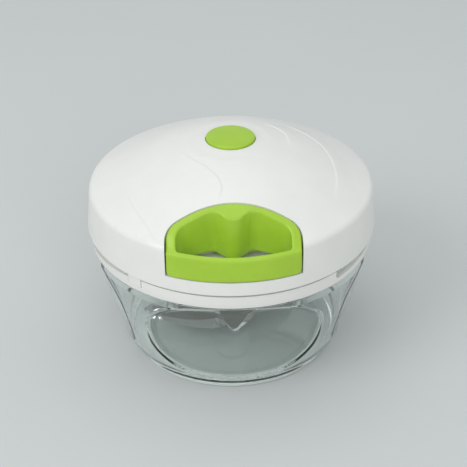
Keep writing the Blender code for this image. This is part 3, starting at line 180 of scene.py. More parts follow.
# Handle and its recess
RECESS_GAP = 0.55 * MM
RECESS_WALL = 1.8 * MM
HANDLE_BACK_HALF = 11.0 * MM  # half width of its back, where the slopes to the shoulders begin
HANDLE_BACK_RADIUS = 52.0 * MM
HANDLE_SHOULDER_SHARE = 0.40  # of its side's length, from its back to its shoulders
HANDLE_SHOULDER_RADIUS = 7.5 * MM
HANDLE_BAR = 3.6 * MM         # thickness of the front bar
HANDLE_BAR_DROP = 1.3 * MM    # of the bar's inner edge below the lid's corner
HANDLE_BAR_SLOPE = 1.0 * MM
HANDLE_FALL_RUN = 4.4 * MM    # from the dome's line down to the bar
HANDLE_TOP_RADIUS = 8.0 * MM
HANDLE_SIDE = 4.1 * MM        # width of its rim at the sides
HANDLE_REAR = 3.6 * MM        # and at the back
HANDLE_UNDERCUT = 2.7 * MM    # how much higher its foot is behind the bar
HANDLE_CORNER_RISE = 2.2 * MM
HANDLE_CORNER_RUN = 3.2 * MM
HANDLE_CORNER_BLEND = 1.2 * MM
HANDLE_CENTRE = 13.2 * MM     # from its back to the middle that its rings go round
HANDLE_EDGE = 0.8 * MM
HANDLE_FOOT_EDGE = 0.6 * MM
HOLE_EDGE = 1.3 * MM
HANDLE_PROUD = 0.3 * MM       # of the dome at the handle's back
HANDLE_PROUD_RUN = 6.0 * MM   # it rises from two runs before its back to one run before
HOLE_SHOULDER_RADIUS = 5.5 * MM
HOLE_FRONT_RADIUS = 2.5 * MM
HOLE_FRONT_SHARE = 0.9
LOBE_X = 7.8 * MM
HOLE_AT_TOP = (0.59, 1.13, 7.0 * MM, 0.46, 6.4 * MM)  # as hole_outline takes them
HOLE_AT_FOOT = (0.48, 1.01, 3.6 * MM, 0.31, 4.0 * MM)
HOLE_FRONT_POINTS = 24
HANDLE_LIFT_RUN = 1.5 * MM    # over which its foot rises behind the bar
CREST_ROWS = 6                # of the dome's rows, left out for the arc above the bar
HANDLE_POINTS = 288           # round each of its rings
FOOT_RINGS, SIDE_RINGS, EDGE_RINGS, TOP_RINGS = 5, 14, 7, 12
HOLE_EDGE_RINGS, HOLE_SIDE_RINGS = 9, 12
KNOT_INSET = 4.6 * MM
KNOT_POCKET = 2.2 * MM
POCKET_DEPTH = 9.2 * MM
CORD_RISE = 5.7 * MM
CORD_RADIUS = 1.0 * MM

# Button
BUTTON_THICKNESS = 3.8 * MM
BUTTON_CROWN = 0.8 * MM
BUTTON_FILLET = 0.6 * MM
BUTTON_ROWS = 14
STEM_RADIUS = 2.0 * MM
STEM_HEAD_WIDTH = 1.2 * MM
STEM_HEAD = 0.5 * MM

# Blades
BLADE_CLEARANCE = 6.8 * MM
FIRST_BLADE_AZIMUTH = radians(215)
BLADE_STEP = radians(-138.75)
BLADE_ROOT_WIDTH = 13.0 * MM
BLADE_TIP_WIDTH = 2.0 * MM
BLADE_FULLNESS = 6
BLADE_BELLY = 6.0 * MM
BLADE_HEEL = 6.5 * MM
BLADE_SWEEP = 22.0 * MM
BLADE_ROWS = 40
GRIND_SHARE = 0.25            # of the blade's width that is ground to the edge
GRIND_FADE = 4.0 * MM         # from the hub to where it is ground fully
EDGE_THICKNESS = 0.12 * MM
GROUND_TILT = 0.995           # a face whose normal rises less than this is ground
CORE_RADIUS = 4.9 * MM
CORE_FLANGE = 1.5 * MM
HUB_EDGE = 0.4 * MM
HEX_ACROSS = 8.0 * MM         # of the drive's socket, between its flats
HEX_SIDES = 6
SOCKET_DEPTH = 9.5 * MM
HUB_STEPS = 96

# Cord and return spring
WINDING_RADIUS = 15.0 * MM
CORD_PITCH = 2.5 * MM
CORD_TURNS = 3.29
GUIDE_REACH = 2.0 * MM
GUIDE_FLANGE = 1.1 * MM
CORD_POINTS_PER_TURN = 36
CORD_RUN_POINTS = 60
CORD_END_POINTS = 24
COIL_WIRE_RADIUS = 0.25 * MM
COIL_CURLS = 3
COIL_POINTS_PER_CURL = 32
STRAND_RESOLUTION = 4

# Camera and light
CAMERA_DISTANCE = 520 * MM
CAMERA_ELEVATION = radians(31.17)
CAMERA_AZIMUTH = radians(-1.0)
CAMERA_ROLL = radians(-0.57)
FOCAL_PIXELS = 1138.9
IMAGE_PIXELS = 467
CENTRE_PIXEL = (231.14, 214.20)
SENSOR = 36.0                 # mm, as is the lens
LAMPS = {                     # place, width and power in watts
    "key": ((-1.05, -0.8, 1.05), 0.9, 7.5),
    "top": ((-0.1, 0.1, 1.65), 1.4, 3.7),
    "front": ((0.4, -1.4, 0.95), 0.8, 4.6),
}
WORLD_COLOUR = (0.93, 0.97, 1.0, 1)
WORLD_STRENGTH = 0.66
STAGE_COLOUR = (0.60, 0.62, 0.61)
STAGE_REACH = 6.0
STAGE_CORNER = 1.0
STAGE_BOTTOM_Z = -0.02
STAGE_TOP_Z = -0.0002

# Fineness
STEPS = 192
WELL_STEPS = 128
HOLE_STEPS = 24
BOSS_STEPS = 32
BORE_STEPS = 32
CYLINDER_STEPS = 64
ARC_STEPS = 6
COARSE_ARC_STEPS = 3
FINE_ARC_STEPS = 10
HOLE_ARC_STEPS = 12
RECESS_ARC_STEPS = 16
SHARP_ANGLE = radians(38)
PARALLEL = 1e-15              # a smaller cross product says that two lines don't meet
SHARE_SLACK = 1e-9

# Sizes that follow
HANDLE_SIDE_Y = -sqrt(COVER_RADIUS ** 2 - HANDLE_HALF_WIDTH ** 2)
HANDLE_SHOULDER_DROP = HANDLE_SHOULDER_SHARE * (HANDLE_BACK_Y - HANDLE_SIDE_Y)
CORNER_RADIUS = COVER_RADIUS - SKIRT_DRAFT
CORNER_Z = SEAM_Z + CORNER_RISE
DOME_TOP_Z = BUTTON_HIGH.z - BUTTON_PROUD
RECESS_FLOOR_Z = HANDLE_LOW.z - GAP
RECESS_BACK_Y = HANDLE_BACK_Y + RECESS_GAP
NECK_RADIUS = SHOULDER_RADIUS - NECK_STEP
NECK_INSIDE = NECK_RADIUS - NECK_WALL
UNDERSIDE_Z = FOOT_Z + UNDERSIDE_RISE
FLOOR_Z = UNDERSIDE_Z + FLOOR_THICKNESS
POST_TOP_Z = FLOOR_Z + POST_HEIGHT
PLATE_TOP_Z = PLATE_Z + PLATE_THICKNESS
CORD_Z = HANDLE_LOW.z + CORD_RISE
WELL_FLOOR_Z = DOME_TOP_Z - WELL_DEPTH


# Mesh helpers

def add_object(name, data):
    made = bpy.data.objects.new(name, data)
    bpy.context.scene.collection.objects.link(made)
    return made


def mesh_from(name, vertices, faces):
    mesh = bpy.data.meshes.new(name)
    mesh.from_pydata([tuple(v) for v in vertices], [], faces)
    return mesh


def baked(source):
    """Replace an object by a plain, welded mesh of what its modifiers make."""
    name = source.name
    bpy.context.view_layer.update()
    graph = bpy.context.evaluated_depsgraph_get()
    mesh = bpy.data.meshes.new_from_object(source.evaluated_get(graph))
    mesh.transform(source.matrix_world)
    bpy.data.objects.remove(source, do_unlink=True)
    shell = bmesh.new()
    shell.from_mesh(mesh)
    bmesh.ops.remove_doubles(shell, verts=shell.verts, dist=MERGE_DISTANCE)
    bmesh.ops.recalc_face_normals(shell, faces=shell.faces)
    shell.to_mesh(mesh)
    shell.free()
    mesh.materials.clear()
    return add_object(name, mesh)


def finished(piece, look, slot, body, *nodes):
    """Shade a piece, give it its finish and its body, and put it in the place of its solids."""
    piece.data.shade_smooth()
    piece.data.set_sharp_from_angle(angle=SHARP_ANGLE)
    piece.data.materials.append(look)
    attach(piece, body)
    if nodes:
        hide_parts(*nodes)


def rounded(corners, steps=ARC_STEPS):
    """Outline through (x, y, radius) corners, each one replaced by its arc."""
    places = [Vector(corner[:2]) for corner in corners]
    edges = [after - place for place, after in zip(places, places[1:] + places[:1])]
    outline = []
    for i, (corner, (_, _, radius)) in enumerate(zip(places, corners)):
        if radius == 0:
            outline.append(tuple(corner))
            continue
        before, after = -edges[i - 1].normalized(), edges[i].normalized()
        half = before.angle(after) / 2
        trim = radius / tan(half)
        start, end = corner + before * trim, corner + after * trim
        middle = corner + (before + after).normalized() * (radius / sin(half))
        turn = (start - middle).angle_signed(end - middle)
        for step in range(steps + 1):
            spoke = start - middle
            spoke.rotate(Matrix.Rotation(-turn * step / steps, 2))
            outline.append(tuple(middle + spoke))
    return outline


def mirrored(corners):
    return [(-x, y, radius) for x, y, radius in reversed(corners)]


def turned(name, outline, steps=STEPS):
    """Turn a profile of (radius, height) points about the vertical axis."""
    count = len(outline)
    on_axis = outline[0][0] == 0 and outline[-1][0] == 0
    edges = [(i, i + 1) for i in range(count - 1)]
    if not on_axis:
        edges.append((count - 1, 0))
    mesh = bpy.data.meshes.new(name)
    mesh.from_pydata([(r, 0, z) for r, z in outline], edges, [])
    made = add_object(name, mesh)
    screw = made.modifiers.new("turn", "SCREW")
    screw.steps = screw.render_steps = steps
    screw.use_merge_vertices = True
    screw.merge_threshold = MERGE_DISTANCE
    return baked(made)


def extruded(name, outline, bottom, top):
    """A flat outline raised from one height to another."""
    count = len(outline)
    vertices = [(x, y, z) for z in (bottom, top) for x, y in outline]
    faces = [list(range(count))[::-1], list(range(count, 2 * count))]
    for i in range(count):
        j = (i + 1) % count
        faces.append((i, j, count + j, count + i))
    return add_object(name, mesh_from(name, vertices, faces))


def cylinder(name, radius, bottom, top, place=(0, 0), steps=CYLINDER_STEPS):
    turns = [2 * pi * i / steps for i in range(steps)]
    outline = [(place[0] + radius * cos(turn), place[1] + radius * sin(turn)) for turn in turns]
    return extruded(name, outline, bottom, top)


def cut(target, *others, operation="DIFFERENCE"):
    """Cut a mesh object by others, which are used up, and return it as a plain mesh."""
    for other in others:
        change = target.modifiers.new(other.name, "BOOLEAN")
        change.operation = operation
        change.solver = "EXACT"
        change.object = other
    target = baked(target)
    for other in others:
        bpy.data.objects.remove(other, do_unlink=True)
    return target


def around(count, radius, first):
    """Places evenly spaced on a circle about the axis."""
    return [(radius * cos(first + 2 * pi * i / count), radius * sin(first + 2 * pi * i / count))
            for i in range(count)]


def smoothstep(value):
    """Ease from 0 to 1."""
    value = np.clip(value, 0, 1)
    return value * value * (3 - 2 * value)


def lofted_loop(name, rings):
    """A closed mesh object through rings of equally many points, the last joined to the first."""
    count, total = len(rings[0]), len(rings)
    faces = []
    for k in range(total):
        low, high = k * count, (k + 1) % total * count
        for i in range(count):
            j = (i + 1) % count
            faces.append((low + i, low + j, high + j, high + i))
    return baked(add_object(name, mesh_from(name, [p for ring in rings for p in ring], faces)))


def lofted_rod(name, rings):
    """A closed mesh object through rings of equally many points, with flat ends."""
    count, total = len(rings[0]), len(rings)
    faces = [tuple(range(count)), tuple(range((total - 1) * count, total * count))[::-1]]
    for k in range(total - 1):
        for i in range(count):
            j = (i + 1) % count
            faces.append((k * count + i, (k + 1) * count + i, (k + 1) * count + j, k * count + j))
    return baked(add_object(name, mesh_from(name, [p for ring in rings for p in ring], faces)))


# Finishes

TINT_SPAN = (0.35, 0.65)    # of the noise, from the darker to the lighter tint
CLOUD_DETAIL, GRAIN_DETAIL = 4, 3
GRAIN_DEPTH = 0.1 * MM
LAMP_TINT = (0.89, 0.92, 0.91, 1)   # of the lamps' light behind a clear piece


def noise(tree, mapping, scale, detail):
    made = tree.nodes.new("ShaderNodeTexNoise")
    made.inputs["Scale"].default_value = scale
    made.inputs["Detail"].default_value = detail
    tree.links.new(mapping.outputs["Vector"], made.inputs["Vector"])
    return made


def finish(name, colour, roughness, variation=0.02, cloud_scale=90, bump=0.02, bump_scale=2200,
           roughness_spread=0.05, stretch=(1, 1, 1), **sockets):
    """A Principled finish whose colour, roughness and surface vary a little by noise.

    Clouds vary its tint and gloss and a finer grain its surface. The sockets are the shader's own.
    """
    made = bpy.data.materials.new(name)
    made.use_nodes = True
    tree = made.node_tree
    shader = tree.nodes["Principled BSDF"]
    for key, value in sockets.items():
        shader.inputs[key.replace("_", " ").title().replace("Ior", "IOR")].default_value = value
    place = tree.nodes.new("ShaderNodeTexCoord")
    mapping = tree.nodes.new("ShaderNodeMapping")
    mapping.inputs["Scale"].default_value = stretch
    tree.links.new(place.outputs["Object"], mapping.inputs["Vector"])
    cloud = noise(tree, mapping, cloud_scale, CLOUD_DETAIL)
    tint = tree.nodes.new("ShaderNodeValToRGB")
    dark, light = tint.color_ramp.elements
    dark.position, light.position = TINT_SPAN
    dark.color = (*[c * (1 - variation) for c in colour], 1)
    light.color = (*[min(1, c * (1 + variation)) for c in colour], 1)
    tree.links.new(cloud.outputs["Fac"], tint.inputs["Fac"])
    tree.links.new(tint.outputs["Color"], shader.inputs["Base Color"])
    gloss = tree.nodes.new("ShaderNodeMapRange")
    gloss.inputs["To Min"].default_value = roughness - roughness_spread
    gloss.inputs["To Max"].default_value = roughness + roughness_spread
    tree.links.new(cloud.outputs["Fac"], gloss.inputs["Value"])
    tree.links.new(gloss.outputs["Result"], shader.inputs["Roughness"])
    grain = noise(tree, mapping, bump_scale, GRAIN_DETAIL)
    relief = tree.nodes.new("ShaderNodeBump")
    relief.inputs["Strength"].default_value = bump
    relief.inputs["Distance"].default_value = GRAIN_DEPTH
    tree.links.new(grain.outputs["Fac"], relief.inputs["Height"])
    tree.links.new(relief.outputs["Normal"], shader.inputs["Normal"])
    return made


def let_lamps_through(glass):
    """Let lamps shine through a clear finish, so that what stands behind it is lit."""
    tree = glass.node_tree
    path = tree.nodes.new("ShaderNodeLightPath")
    passing = tree.nodes.new("ShaderNodeBsdfTransparent")
    passing.inputs["Color"].default_value = LAMP_TINT
    either = tree.nodes.new("ShaderNodeMixShader")
    tree.links.new(path.outputs["Is Shadow Ray"], either.inputs["Fac"])
    tree.links.new(tree.nodes["Principled BSDF"].outputs["BSDF"], either.inputs[1])
    tree.links.new(passing.outputs["BSDF"], either.inputs[2])
    tree.links.new(either.outputs["Shader"], tree.nodes["Material Output"].inputs["Surface"])


white = finish("white_plastic", (0.795, 0.79, 0.75), 0.34, variation=0.012, bump=0.05)
green = finish("green_plastic", (0.365, 0.58, 0.035), 0.36, variation=0.03, bump=0.06)
clear = finish("clear_plastic", (0.93, 0.97, 0.955), 0.03, variation=0.005, bump=0.004,
               bump_scale=300, roughness_spread=0.012, transmission_weight=1.0, ior=1.49)
let_lamps_through(clear)
milky = finish("silicone", (0.88, 0.93, 0.91), 0.45, variation=0.02, bump=0.05,
               transmission_weight=0.15, ior=1.41)
steel = finish("rolled_steel", (0.46, 0.46, 0.45), 0.22, variation=0.05, bump=0.12,
               bump_scale=900, roughness_spread=0.07, stretch=(1, 8, 1), metallic=1.0)
ground = finish("ground_edge", (0.82, 0.83, 0.84), 0.14, variation=0.03, bump=0.05,
                bump_scale=2500, roughness_spread=0.04, metallic=1.0)
spring_steel = finish("spring_steel", (0.50, 0.51, 0.53), 0.32, variation=0.06, bump=0.08,
                      metallic=1.0)
grey = finish("grey_plastic", (0.58, 0.60, 0.60), 0.42, variation=0.03, bump=0.08)
braid = finish("braided_cord", (0.78, 0.79, 0.76), 0.75, variation=0.10, cloud_scale=900,
               bump=0.6, bump_scale=1400)
pale = finish("pale_floor", STAGE_COLOUR, 0.7, variation=0.01, cloud_scale=4, bump=0.01)


# Bowl

def side_radius(z):
    """Radius of the bowl's outside at a height, between its panels."""
    return FOOT_RADIUS + (SHOULDER_RADIUS - FOOT_RADIUS) * (1 - (1 - z / SHOULDER_Z) ** SIDE_POWER)


def oval(off, z, centre, half_height, half_angle):
    """1 on a squarish oval's outline, less inside it."""
    return (np.abs(off / half_angle) ** PANEL_POWER +
            np.abs((z - centre) / half_height) ** PANEL_POWER) ** (1 / PANEL_POWER)


def panel_depth(angle, z):
    """How far a side panel pushes the wall in: a bevelled border, then a shallow dish."""
    pitch = 2 * pi / PANEL_COUNT
    off = (angle + pi / 2 + pitch / 2) % pitch - pitch / 2
    outline, flat = oval(off, z, *PANEL_OUTLINE), oval(off, z, *PANEL_FLAT)
    width = np.maximum(flat - outline, PANEL_LEAST_WIDTH)
    bevel = np.where(flat > 1, np.clip((1 - outline) / width, 0, 1), 1)
    return PANEL_BEVEL * (bevel + smoothstep(bevel)) / 2 + PANEL_DISH * np.clip(1 - flat ** 2, 0, 1)


def make_bowl():
    """The turned shell, whose side is then pushed in where the panels are."""
    land_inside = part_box("foot_ring")[1].x - FOOT_LAND
    heights = np.linspace(FOOT_Z, SHOULDER_Z, SIDE_ROWS + 1)
    inner_z = [z for z in heights if FLOOR_Z + INNER_SIDE_START < z < SHOULDER_Z - NECK_BLEND]
    inside = [(side_radius(z) - BOWL_WALL, z, 0) for z in inner_z]
    outer_z = [z for z in heights[::-1]
               if FOOT_Z + OUTER_SIDE_START < z < SHOULDER_Z - OUTER_SIDE_END]
    outside = [(side_radius(z), z, 0) for z in outer_z]
    pin_hole, pin_floor = PIN_RADIUS + GAP, POST_TOP_Z - PIN_SINK
    outline = rounded(
        [(0, pin_floor, 0), (pin_hole, pin_floor, 0), (pin_hole, POST_TOP_Z, 0),
         (POST_RADIUS, POST_TOP_Z, MOULDED_EDGE), (POST_BASE_RADIUS, FLOOR_Z, POST_FILLET),
         (side_radius(FLOOR_Z) - BOWL_WALL, FLOOR_Z, FLOOR_FILLET)] + inside +
        [(NECK_INSIDE, SHOULDER_Z, 0), (NECK_INSIDE, RIM_Z, RIM_EDGE),
         (NECK_RADIUS, RIM_Z, RIM_EDGE), (NECK_RADIUS, SHOULDER_Z, MOULDED_EDGE),
         (SHOULDER_RADIUS, SHOULDER_Z, SHOULDER_EDGE)] + outside +
        [(side_radius(FOOT_Z), FOOT_Z, FOOT_EDGE), (land_inside, FOOT_Z, FINE_EDGE),
         (land_inside, UNDERSIDE_Z, 0), (0, UNDERSIDE_Z, 0)])
    bowl = turned("bowl_shell", outline, BOWL_STEPS)
    places = np.array([v.co for v in bowl.data.vertices])
    radius = np.hypot(places[:, 0], places[:, 1])
    angle, z = np.arctan2(places[:, 1], places[:, 0]), places[:, 2]
    push = panel_depth(angle, z)
    share = np.where(radius > POST_BASE_RADIUS, 1 - push / np.maximum(radius, MM), 1)
    for vertex, k in zip(bowl.data.vertices, share):
        vertex.co.x *= k
        vertex.co.y *= k
    finished(bowl, clear, "clear_plastic", "bowl", "bowl")


def make_foot_ring():
    """A band under the wall, with a lip inside it that reaches the bowl's underside."""
    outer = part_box("foot_ring")[1].x
    edge, lip = side_radius(FOOT_Z) - RING_SETBACK, outer - FOOT_LAND + RING_CONTACT
    inner, lip_top, top = lip - RING_LIP, UNDERSIDE_Z + RING_CONTACT, FOOT_Z + RING_CONTACT
    outline = rounded([(inner, lip_top, MOULDED_EDGE), (lip, lip_top, 0), (lip, top, 0),
                       (edge, top, FINE_EDGE), (edge, top / 2, 0), (outer, 0, FOOT_EDGE),
                       (inner, 0, FOOT_EDGE)])
    finished(turned("foot_band", outline), milky, "silicone", "bowl", "foot_ring")


# Blade unit

def blade_reach(z):
    """Length of a blade whose swept tip just clears the wall."""
    wall = side_radius(z) - BOWL_WALL - panel_depth(-pi / 2, z)
    return sqrt((wall - BLADE_CLEARANCE) ** 2 - BLADE_SWEEP ** 2)


def make_blade(place, azimuth):
    """A wing whose leading side is ground down to a thin edge, and an eye round the hub's core."""
    name = "blade_" + place
    bottom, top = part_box(name)[0].z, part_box(name)[1].z
    reach = blade_reach(bottom)
    rings = []
    for share in np.linspace(CORE_RADIUS / reach, 1, BLADE_ROWS):
        x = reach * share
        middle = -BLADE_SWEEP * share ** 2
        width = BLADE_ROOT_WIDTH + (BLADE_TIP_WIDTH - BLADE_ROOT_WIDTH) * share ** BLADE_FULLNESS
        bulge = 4 * share * (1 - share)
        trail = middle - width / 2 - BLADE_HEEL * bulge
        lead = middle + width / 2 + BLADE_BELLY * bulge
        fade = smoothstep((x - HUB_RADIUS) / GRIND_FADE)
        grind = (lead - trail) * GRIND_SHARE * fade
        edge_top = top - (top - bottom - EDGE_THICKNESS) * fade
        rings.append([(x, trail, bottom), (x, lead, bottom), (x, lead, edge_top),
                      (x, lead - grind, top), (x, trail, top)])
    wing = lofted_rod(name + "_wing", rings)
    eye = cylinder(name + "_eye", HUB_RADIUS, bottom, top, steps=HUB_STEPS)
    wing = cut(wing, eye, operation="UNION")
    wing = cut(wing, cylinder(name + "_bore", CORE_RADIUS + GAP, bottom - OVERRUN, top + OVERRUN))
    wing.data.transform(Matrix.Rotation(azimuth, 4, "Z"))
    wing.name = name + "_ground"
    finished(wing, steel, "steel", "blades", name)
    wing.data.materials.append(ground)
    for face in wing.data.polygons:
        if 0 < face.normal.z < GROUND_TILT:
            face.material_index = 1


def make_blade_unit():
    """Three blades on the hub's core, the spacers between them, and the cap with its socket."""
    for i, place in enumerate(("low", "middle", "high")):
        make_blade(place, FIRST_BLADE_AZIMUTH + i * BLADE_STEP)
    bore = PIN_RADIUS + GAP
    low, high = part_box("hub_core")
    flange = low.z + CORE_FLANGE
    core = turned("hub_core_turned", rounded([
        (bore, high.z, 0), (CORE_RADIUS, high.z, HUB_EDGE), (CORE_RADIUS, flange, 0),
        (HUB_RADIUS, flange, HUB_EDGE), (HUB_RADIUS, low.z, HUB_EDGE), (bore, low.z, 0)]))
    finished(core, grey, "grey_plastic", "blades", "hub_core")
    sleeve = CORE_RADIUS + GAP
    for name in ("spacer_low", "spacer_middle"):
        low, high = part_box(name)
        spacer = turned(name + "_turned", rounded([
            (sleeve, high.z, 0), (HUB_RADIUS, high.z, HUB_EDGE), (HUB_RADIUS, low.z, HUB_EDGE),
            (sleeve, low.z, 0)]))
        finished(spacer, grey, "grey_plastic", "blades", name)
    low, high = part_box("hub_cap")
    web_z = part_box("hub_core")[1].z + GAP
    cap = turned("hub_cap_turned", rounded([
        (0, high.z, 0), (HUB_RADIUS, high.z, 2 * HUB_EDGE), (HUB_RADIUS, low.z, HUB_EDGE),
        (sleeve, low.z, 0), (sleeve, web_z, 0), (0, web_z, 0)]))
    socket = cylinder("hub_socket", (HEX_ACROSS / 2 + GAP) / cos(pi / HEX_SIDES),
                      high.z - SOCKET_DEPTH, high.z + OVERRUN, steps=HEX_SIDES)
    finished(cut(cap, socket), grey, "grey_plastic", "blades", "hub_cap")


# Lid

def dome_z(radius):
    """Height of the dome without its dish at a distance from the axis."""
    out = radius / CORNER_RADIUS
    drop = DOME_BOW_SHARE * out ** 2 - (DOME_BOW_SHARE - 1) * out ** 4
    return DOME_TOP_Z - (DOME_TOP_Z - CORNER_Z) * drop


def dome_profile(inset, bottom, dished=True):
    """Profile of the dome and skirt, moved in by inset, closed at the bottom."""
    radii = np.linspace(0, CORNER_RADIUS, DOME_ROWS)[:-CORNER_ROWS]
    corner = (CORNER_RADIUS - inset, CORNER_Z - inset, max(CORNER_FILLET - inset, GAP))
    foot = COVER_RADIUS - inset + SKIRT_DRAFT / CORNER_RISE * (SEAM_Z - bottom)
    fillet = SKIRT_FILLET if dished else 0
    over_dome = []
    for radius in radii:
        dish = DISH_DEPTH * smoothstep((DISH_RADIUS - radius) / DISH_LIP) if dished else 0
        over_dome.append((radius, dome_z(radius) - inset - dish, 0))
    return rounded(over_dome + [corner, (foot, bottom, fillet), (0, bottom, 0)], FINE_ARC_STEPS)


def lid_height(radius):
    """Height of the cover's outside at a distance from the axis."""
    outline = np.array(dome_profile(0, SEAM_Z, dished=False)[:-1])
    return np.interp(radius, outline[:, 0], outline[:, 1])


def recess_outline(grow):
    """Plan of the handle's outside, grown by a clearance, open towards the front."""
    slope = atan2(HANDLE_SHOULDER_DROP, HANDLE_HALF_WIDTH - HANDLE_BACK_HALF)
    side = HANDLE_HALF_WIDTH + grow
    shoulder_y = HANDLE_BACK_Y - HANDLE_SHOULDER_DROP + grow * (1 / cos(slope) - tan(slope))
    back_half = HANDLE_BACK_HALF + grow * tan(slope / 2)
    right = [(side, -COVER_RADIUS - OVERRUN, 0), (side, shoulder_y, HANDLE_SHOULDER_RADIUS + grow),
             (back_half, HANDLE_BACK_Y + grow, HANDLE_BACK_RADIUS + grow)]
    return rounded(right + mirrored(right), RECESS_ARC_STEPS)


def tongue_blocks(name, inner, outer, width, bottom, top):
    """Boxes at the tongues' azimuths, with their outer upright edges rounded."""
    made = []
    for i in range(TONGUE_COUNT):
        outline = rounded([(inner, -width / 2, 0), (outer, -width / 2, MOULDED_EDGE),
                           (outer, width / 2, MOULDED_EDGE), (inner, width / 2, 0)],
                          COARSE_ARC_STEPS)
        block = extruded(f"{name}_{i}", outline, bottom, top)
        block.data.transform(Matrix.Rotation(TONGUE_AZIMUTH + 2 * pi * i / TONGUE_COUNT, 4, "Z"))
        made.append(block)
    return made


def make_cover():
    """Dome and skirt with their tongues, the handle's recess, the button's well and the bosses."""
    top = DOME_TOP_Z + OVERRUN
    boss_places = around(SCREW_COUNT, BOSS_CIRCLE, pi / 2)
    cavity = turned("cover_cavity", dome_profile(COVER_WALL, SEAM_Z - OVERRUN, dished=False))
    recess_wall = extruded("recess_wall", recess_outline(RECESS_GAP + RECESS_WALL),
                           RECESS_FLOOR_Z - RECESS_WALL, top)
    well_radius = BUTTON_RADIUS + GAP
    well_wall = cylinder("well_wall", well_radius + WELL_WALL, WELL_FLOOR_Z - WELL_WALL, top)
    bosses = [cylinder(f"boss_{i}", BOSS_RADIUS, PLATE_TOP_Z + GAP, top, place, BOSS_STEPS)
              for i, place in enumerate(boss_places)]
    cavity = cut(cavity, recess_wall, well_wall, *bosses)
    cover = cut(turned("cover_shell", dome_profile(0, SEAM_Z)), cavity)
    outer = RING_RADIUS + TONGUE_STANDOUT
    tongues = tongue_blocks("tongue", outer - TONGUE_THICKNESS, outer, TONGUE_WIDTH,
                            SEAM_Z - TONGUE_HEIGHT, SEAM_Z + COVER_WALL / 2)
    cover = cut(cover, *tongues, operation="UNION")
    recess = extruded("recess", recess_outline(RECESS_GAP), RECESS_FLOOR_Z, top)
    well = cylinder("button_well", well_radius, WELL_FLOOR_Z, top, steps=WELL_STEPS)
    stem_hole = cylinder("stem_hole", STEM_HOLE, WELL_FLOOR_Z - WELL_WALL - OVERRUN,
                         WELL_FLOOR_Z + OVERRUN)
    guide_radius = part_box("cord_guide")[1].x - GUIDE_FLANGE
    guide_hole = cylinder("guide_hole", guide_radius, -OVERRUN - RECESS_WALL, OVERRUN)
    guide_hole.data.transform(Matrix.Translation((0, RECESS_BACK_Y, CORD_Z)) @
                              Matrix.Rotation(pi / 2, 4, "X"))
    screw_holes = [cylinder(f"screw_{i}", SCREW_HOLE, PLATE_TOP_Z - OVERRUN,
                            PLATE_Z + SCREW_HOLE_TOP, place, HOLE_STEPS)
                   for i, place in enumerate(boss_places)]
    cover = cut(cover, recess, well, stem_hole, guide_hole, *screw_holes)
    finished(cover, white, "white_plastic", "lid", "upper_cover")


# Soft swirls on the dome, as (x, y) places in mm, each with its raised side on the left
SWIRLS = {
    "swirl_centre": [(-8.0, -39.8), (-6.3, -38.0), (-5.1, -35.2), (-4.8, -32.8), (-5.2, -30.7),
                     (-6.4, -27.6), (-8.9, -24.0), (-12.2, -19.8), (-16.8, -15.1), (-21.7, -8.0),
                     (-25.7, -1.0)],
    "swirl_left": [(-32.4, -53.0), (-33.4, -50.6), (-35.6, -45.7), (-38.6, -39.8), (-41.6, -33.7),
                   (-44.6, -25.8), (-47.5, -15.5)],
    "swirl_right": [(15.4, 28.5), (26.5, 25.5), (34.6, 19.4), (40.3, 12.6), (43.7, 4.2), (45.5, -4.5),
                    (46.0, -14.9), (44.7, -24.1), (42.2, -33.8)],
    "swirl_small": [(13.5, 20.6), (17.5, 18.6), (20.6, 16.4), (23.0, 13.6), (24.9, 10.4), (25.8, 6.3),
                    (25.9, 1.6), (25.1, -3.5)],
}


def curve_through(points, count):
    """Catmull-Rom curve through points, as evenly many points on each stretch."""
    points = [Vector(p) for p in points]
    points = [2 * points[0] - points[1]] + points + [2 * points[-1] - points[-2]]
    route = []
    for a, b, c, d in zip(points, points[1:], points[2:], points[3:]):
        for i in range(count):
            t = i / count
            route.append((2 * b + (c - a) * t + (2 * a - 5 * b + 4 * c - d) * t ** 2 +
                          (3 * b - a - 3 * c + d) * t ** 3) / 2)
    return route + [points[-2]]


def make_swirl(name, points):
    """A raised step along a curve on the dome, which fades out to its left."""
    route = curve_through([Vector(p) * MM for p in points], SWIRL_POINTS)
    across = np.concatenate([[-RELIEF_STEP], np.linspace(-RELIEF_STEP, 0, STEP_ROWS),
                             np.linspace(0, RELIEF_FADE, FADE_ROWS)[1:], [RELIEF_FADE]])
    rings = []
    for i, place in enumerate(route):
        share = i / (len(route) - 1)
        along = (route[min(i + 1, len(route) - 1)] - route[max(i - 1, 0)]).normalized()
        left = Vector((-along.y, along.x))
        taper = smoothstep(min(share, 1 - share) / RELIEF_TAPER)
        ring = []
        for k, off in enumerate(across):
            point = place + left * off
            point *= min(1, RELIEF_REACH / point.length)
            rise = 1 - smoothstep(off / RELIEF_FADE) if off > 0 else smoothstep(1 + off / RELIEF_STEP)
            sunk = RELIEF_SINK if k in (0, len(across) - 1) else RELIEF_CONTACT
            height = float(lid_height(point.length)) + RELIEF_HEIGHT * rise * taper - sunk
            ring.append((point.x, point.y, height))
        rings.append(ring)
    finished(lofted_rod(name, rings), white, "white_plastic", "lid")


def slot_stations():
    """Length along a slot and the slot's drop below the seam there, to its round end."""
    end = SLOT_LENGTH - SLOT_END_RADIUS
    fall = (SLOT_END_DROP - SLOT_START_DROP) / SLOT_LENGTH
    low = SLOT_START_DROP + fall * end - SLOT_END_RADIUS
    straight = [(run, SLOT_START_DROP + fall * run) for run in np.linspace(0, end, SLOT_ROWS)[:-1]]
    return straight + [(end + SLOT_END_RADIUS * sin(turn), low + SLOT_END_RADIUS * cos(turn))
                       for turn in np.linspace(0, pi / 2, SLOT_END_ROWS)]


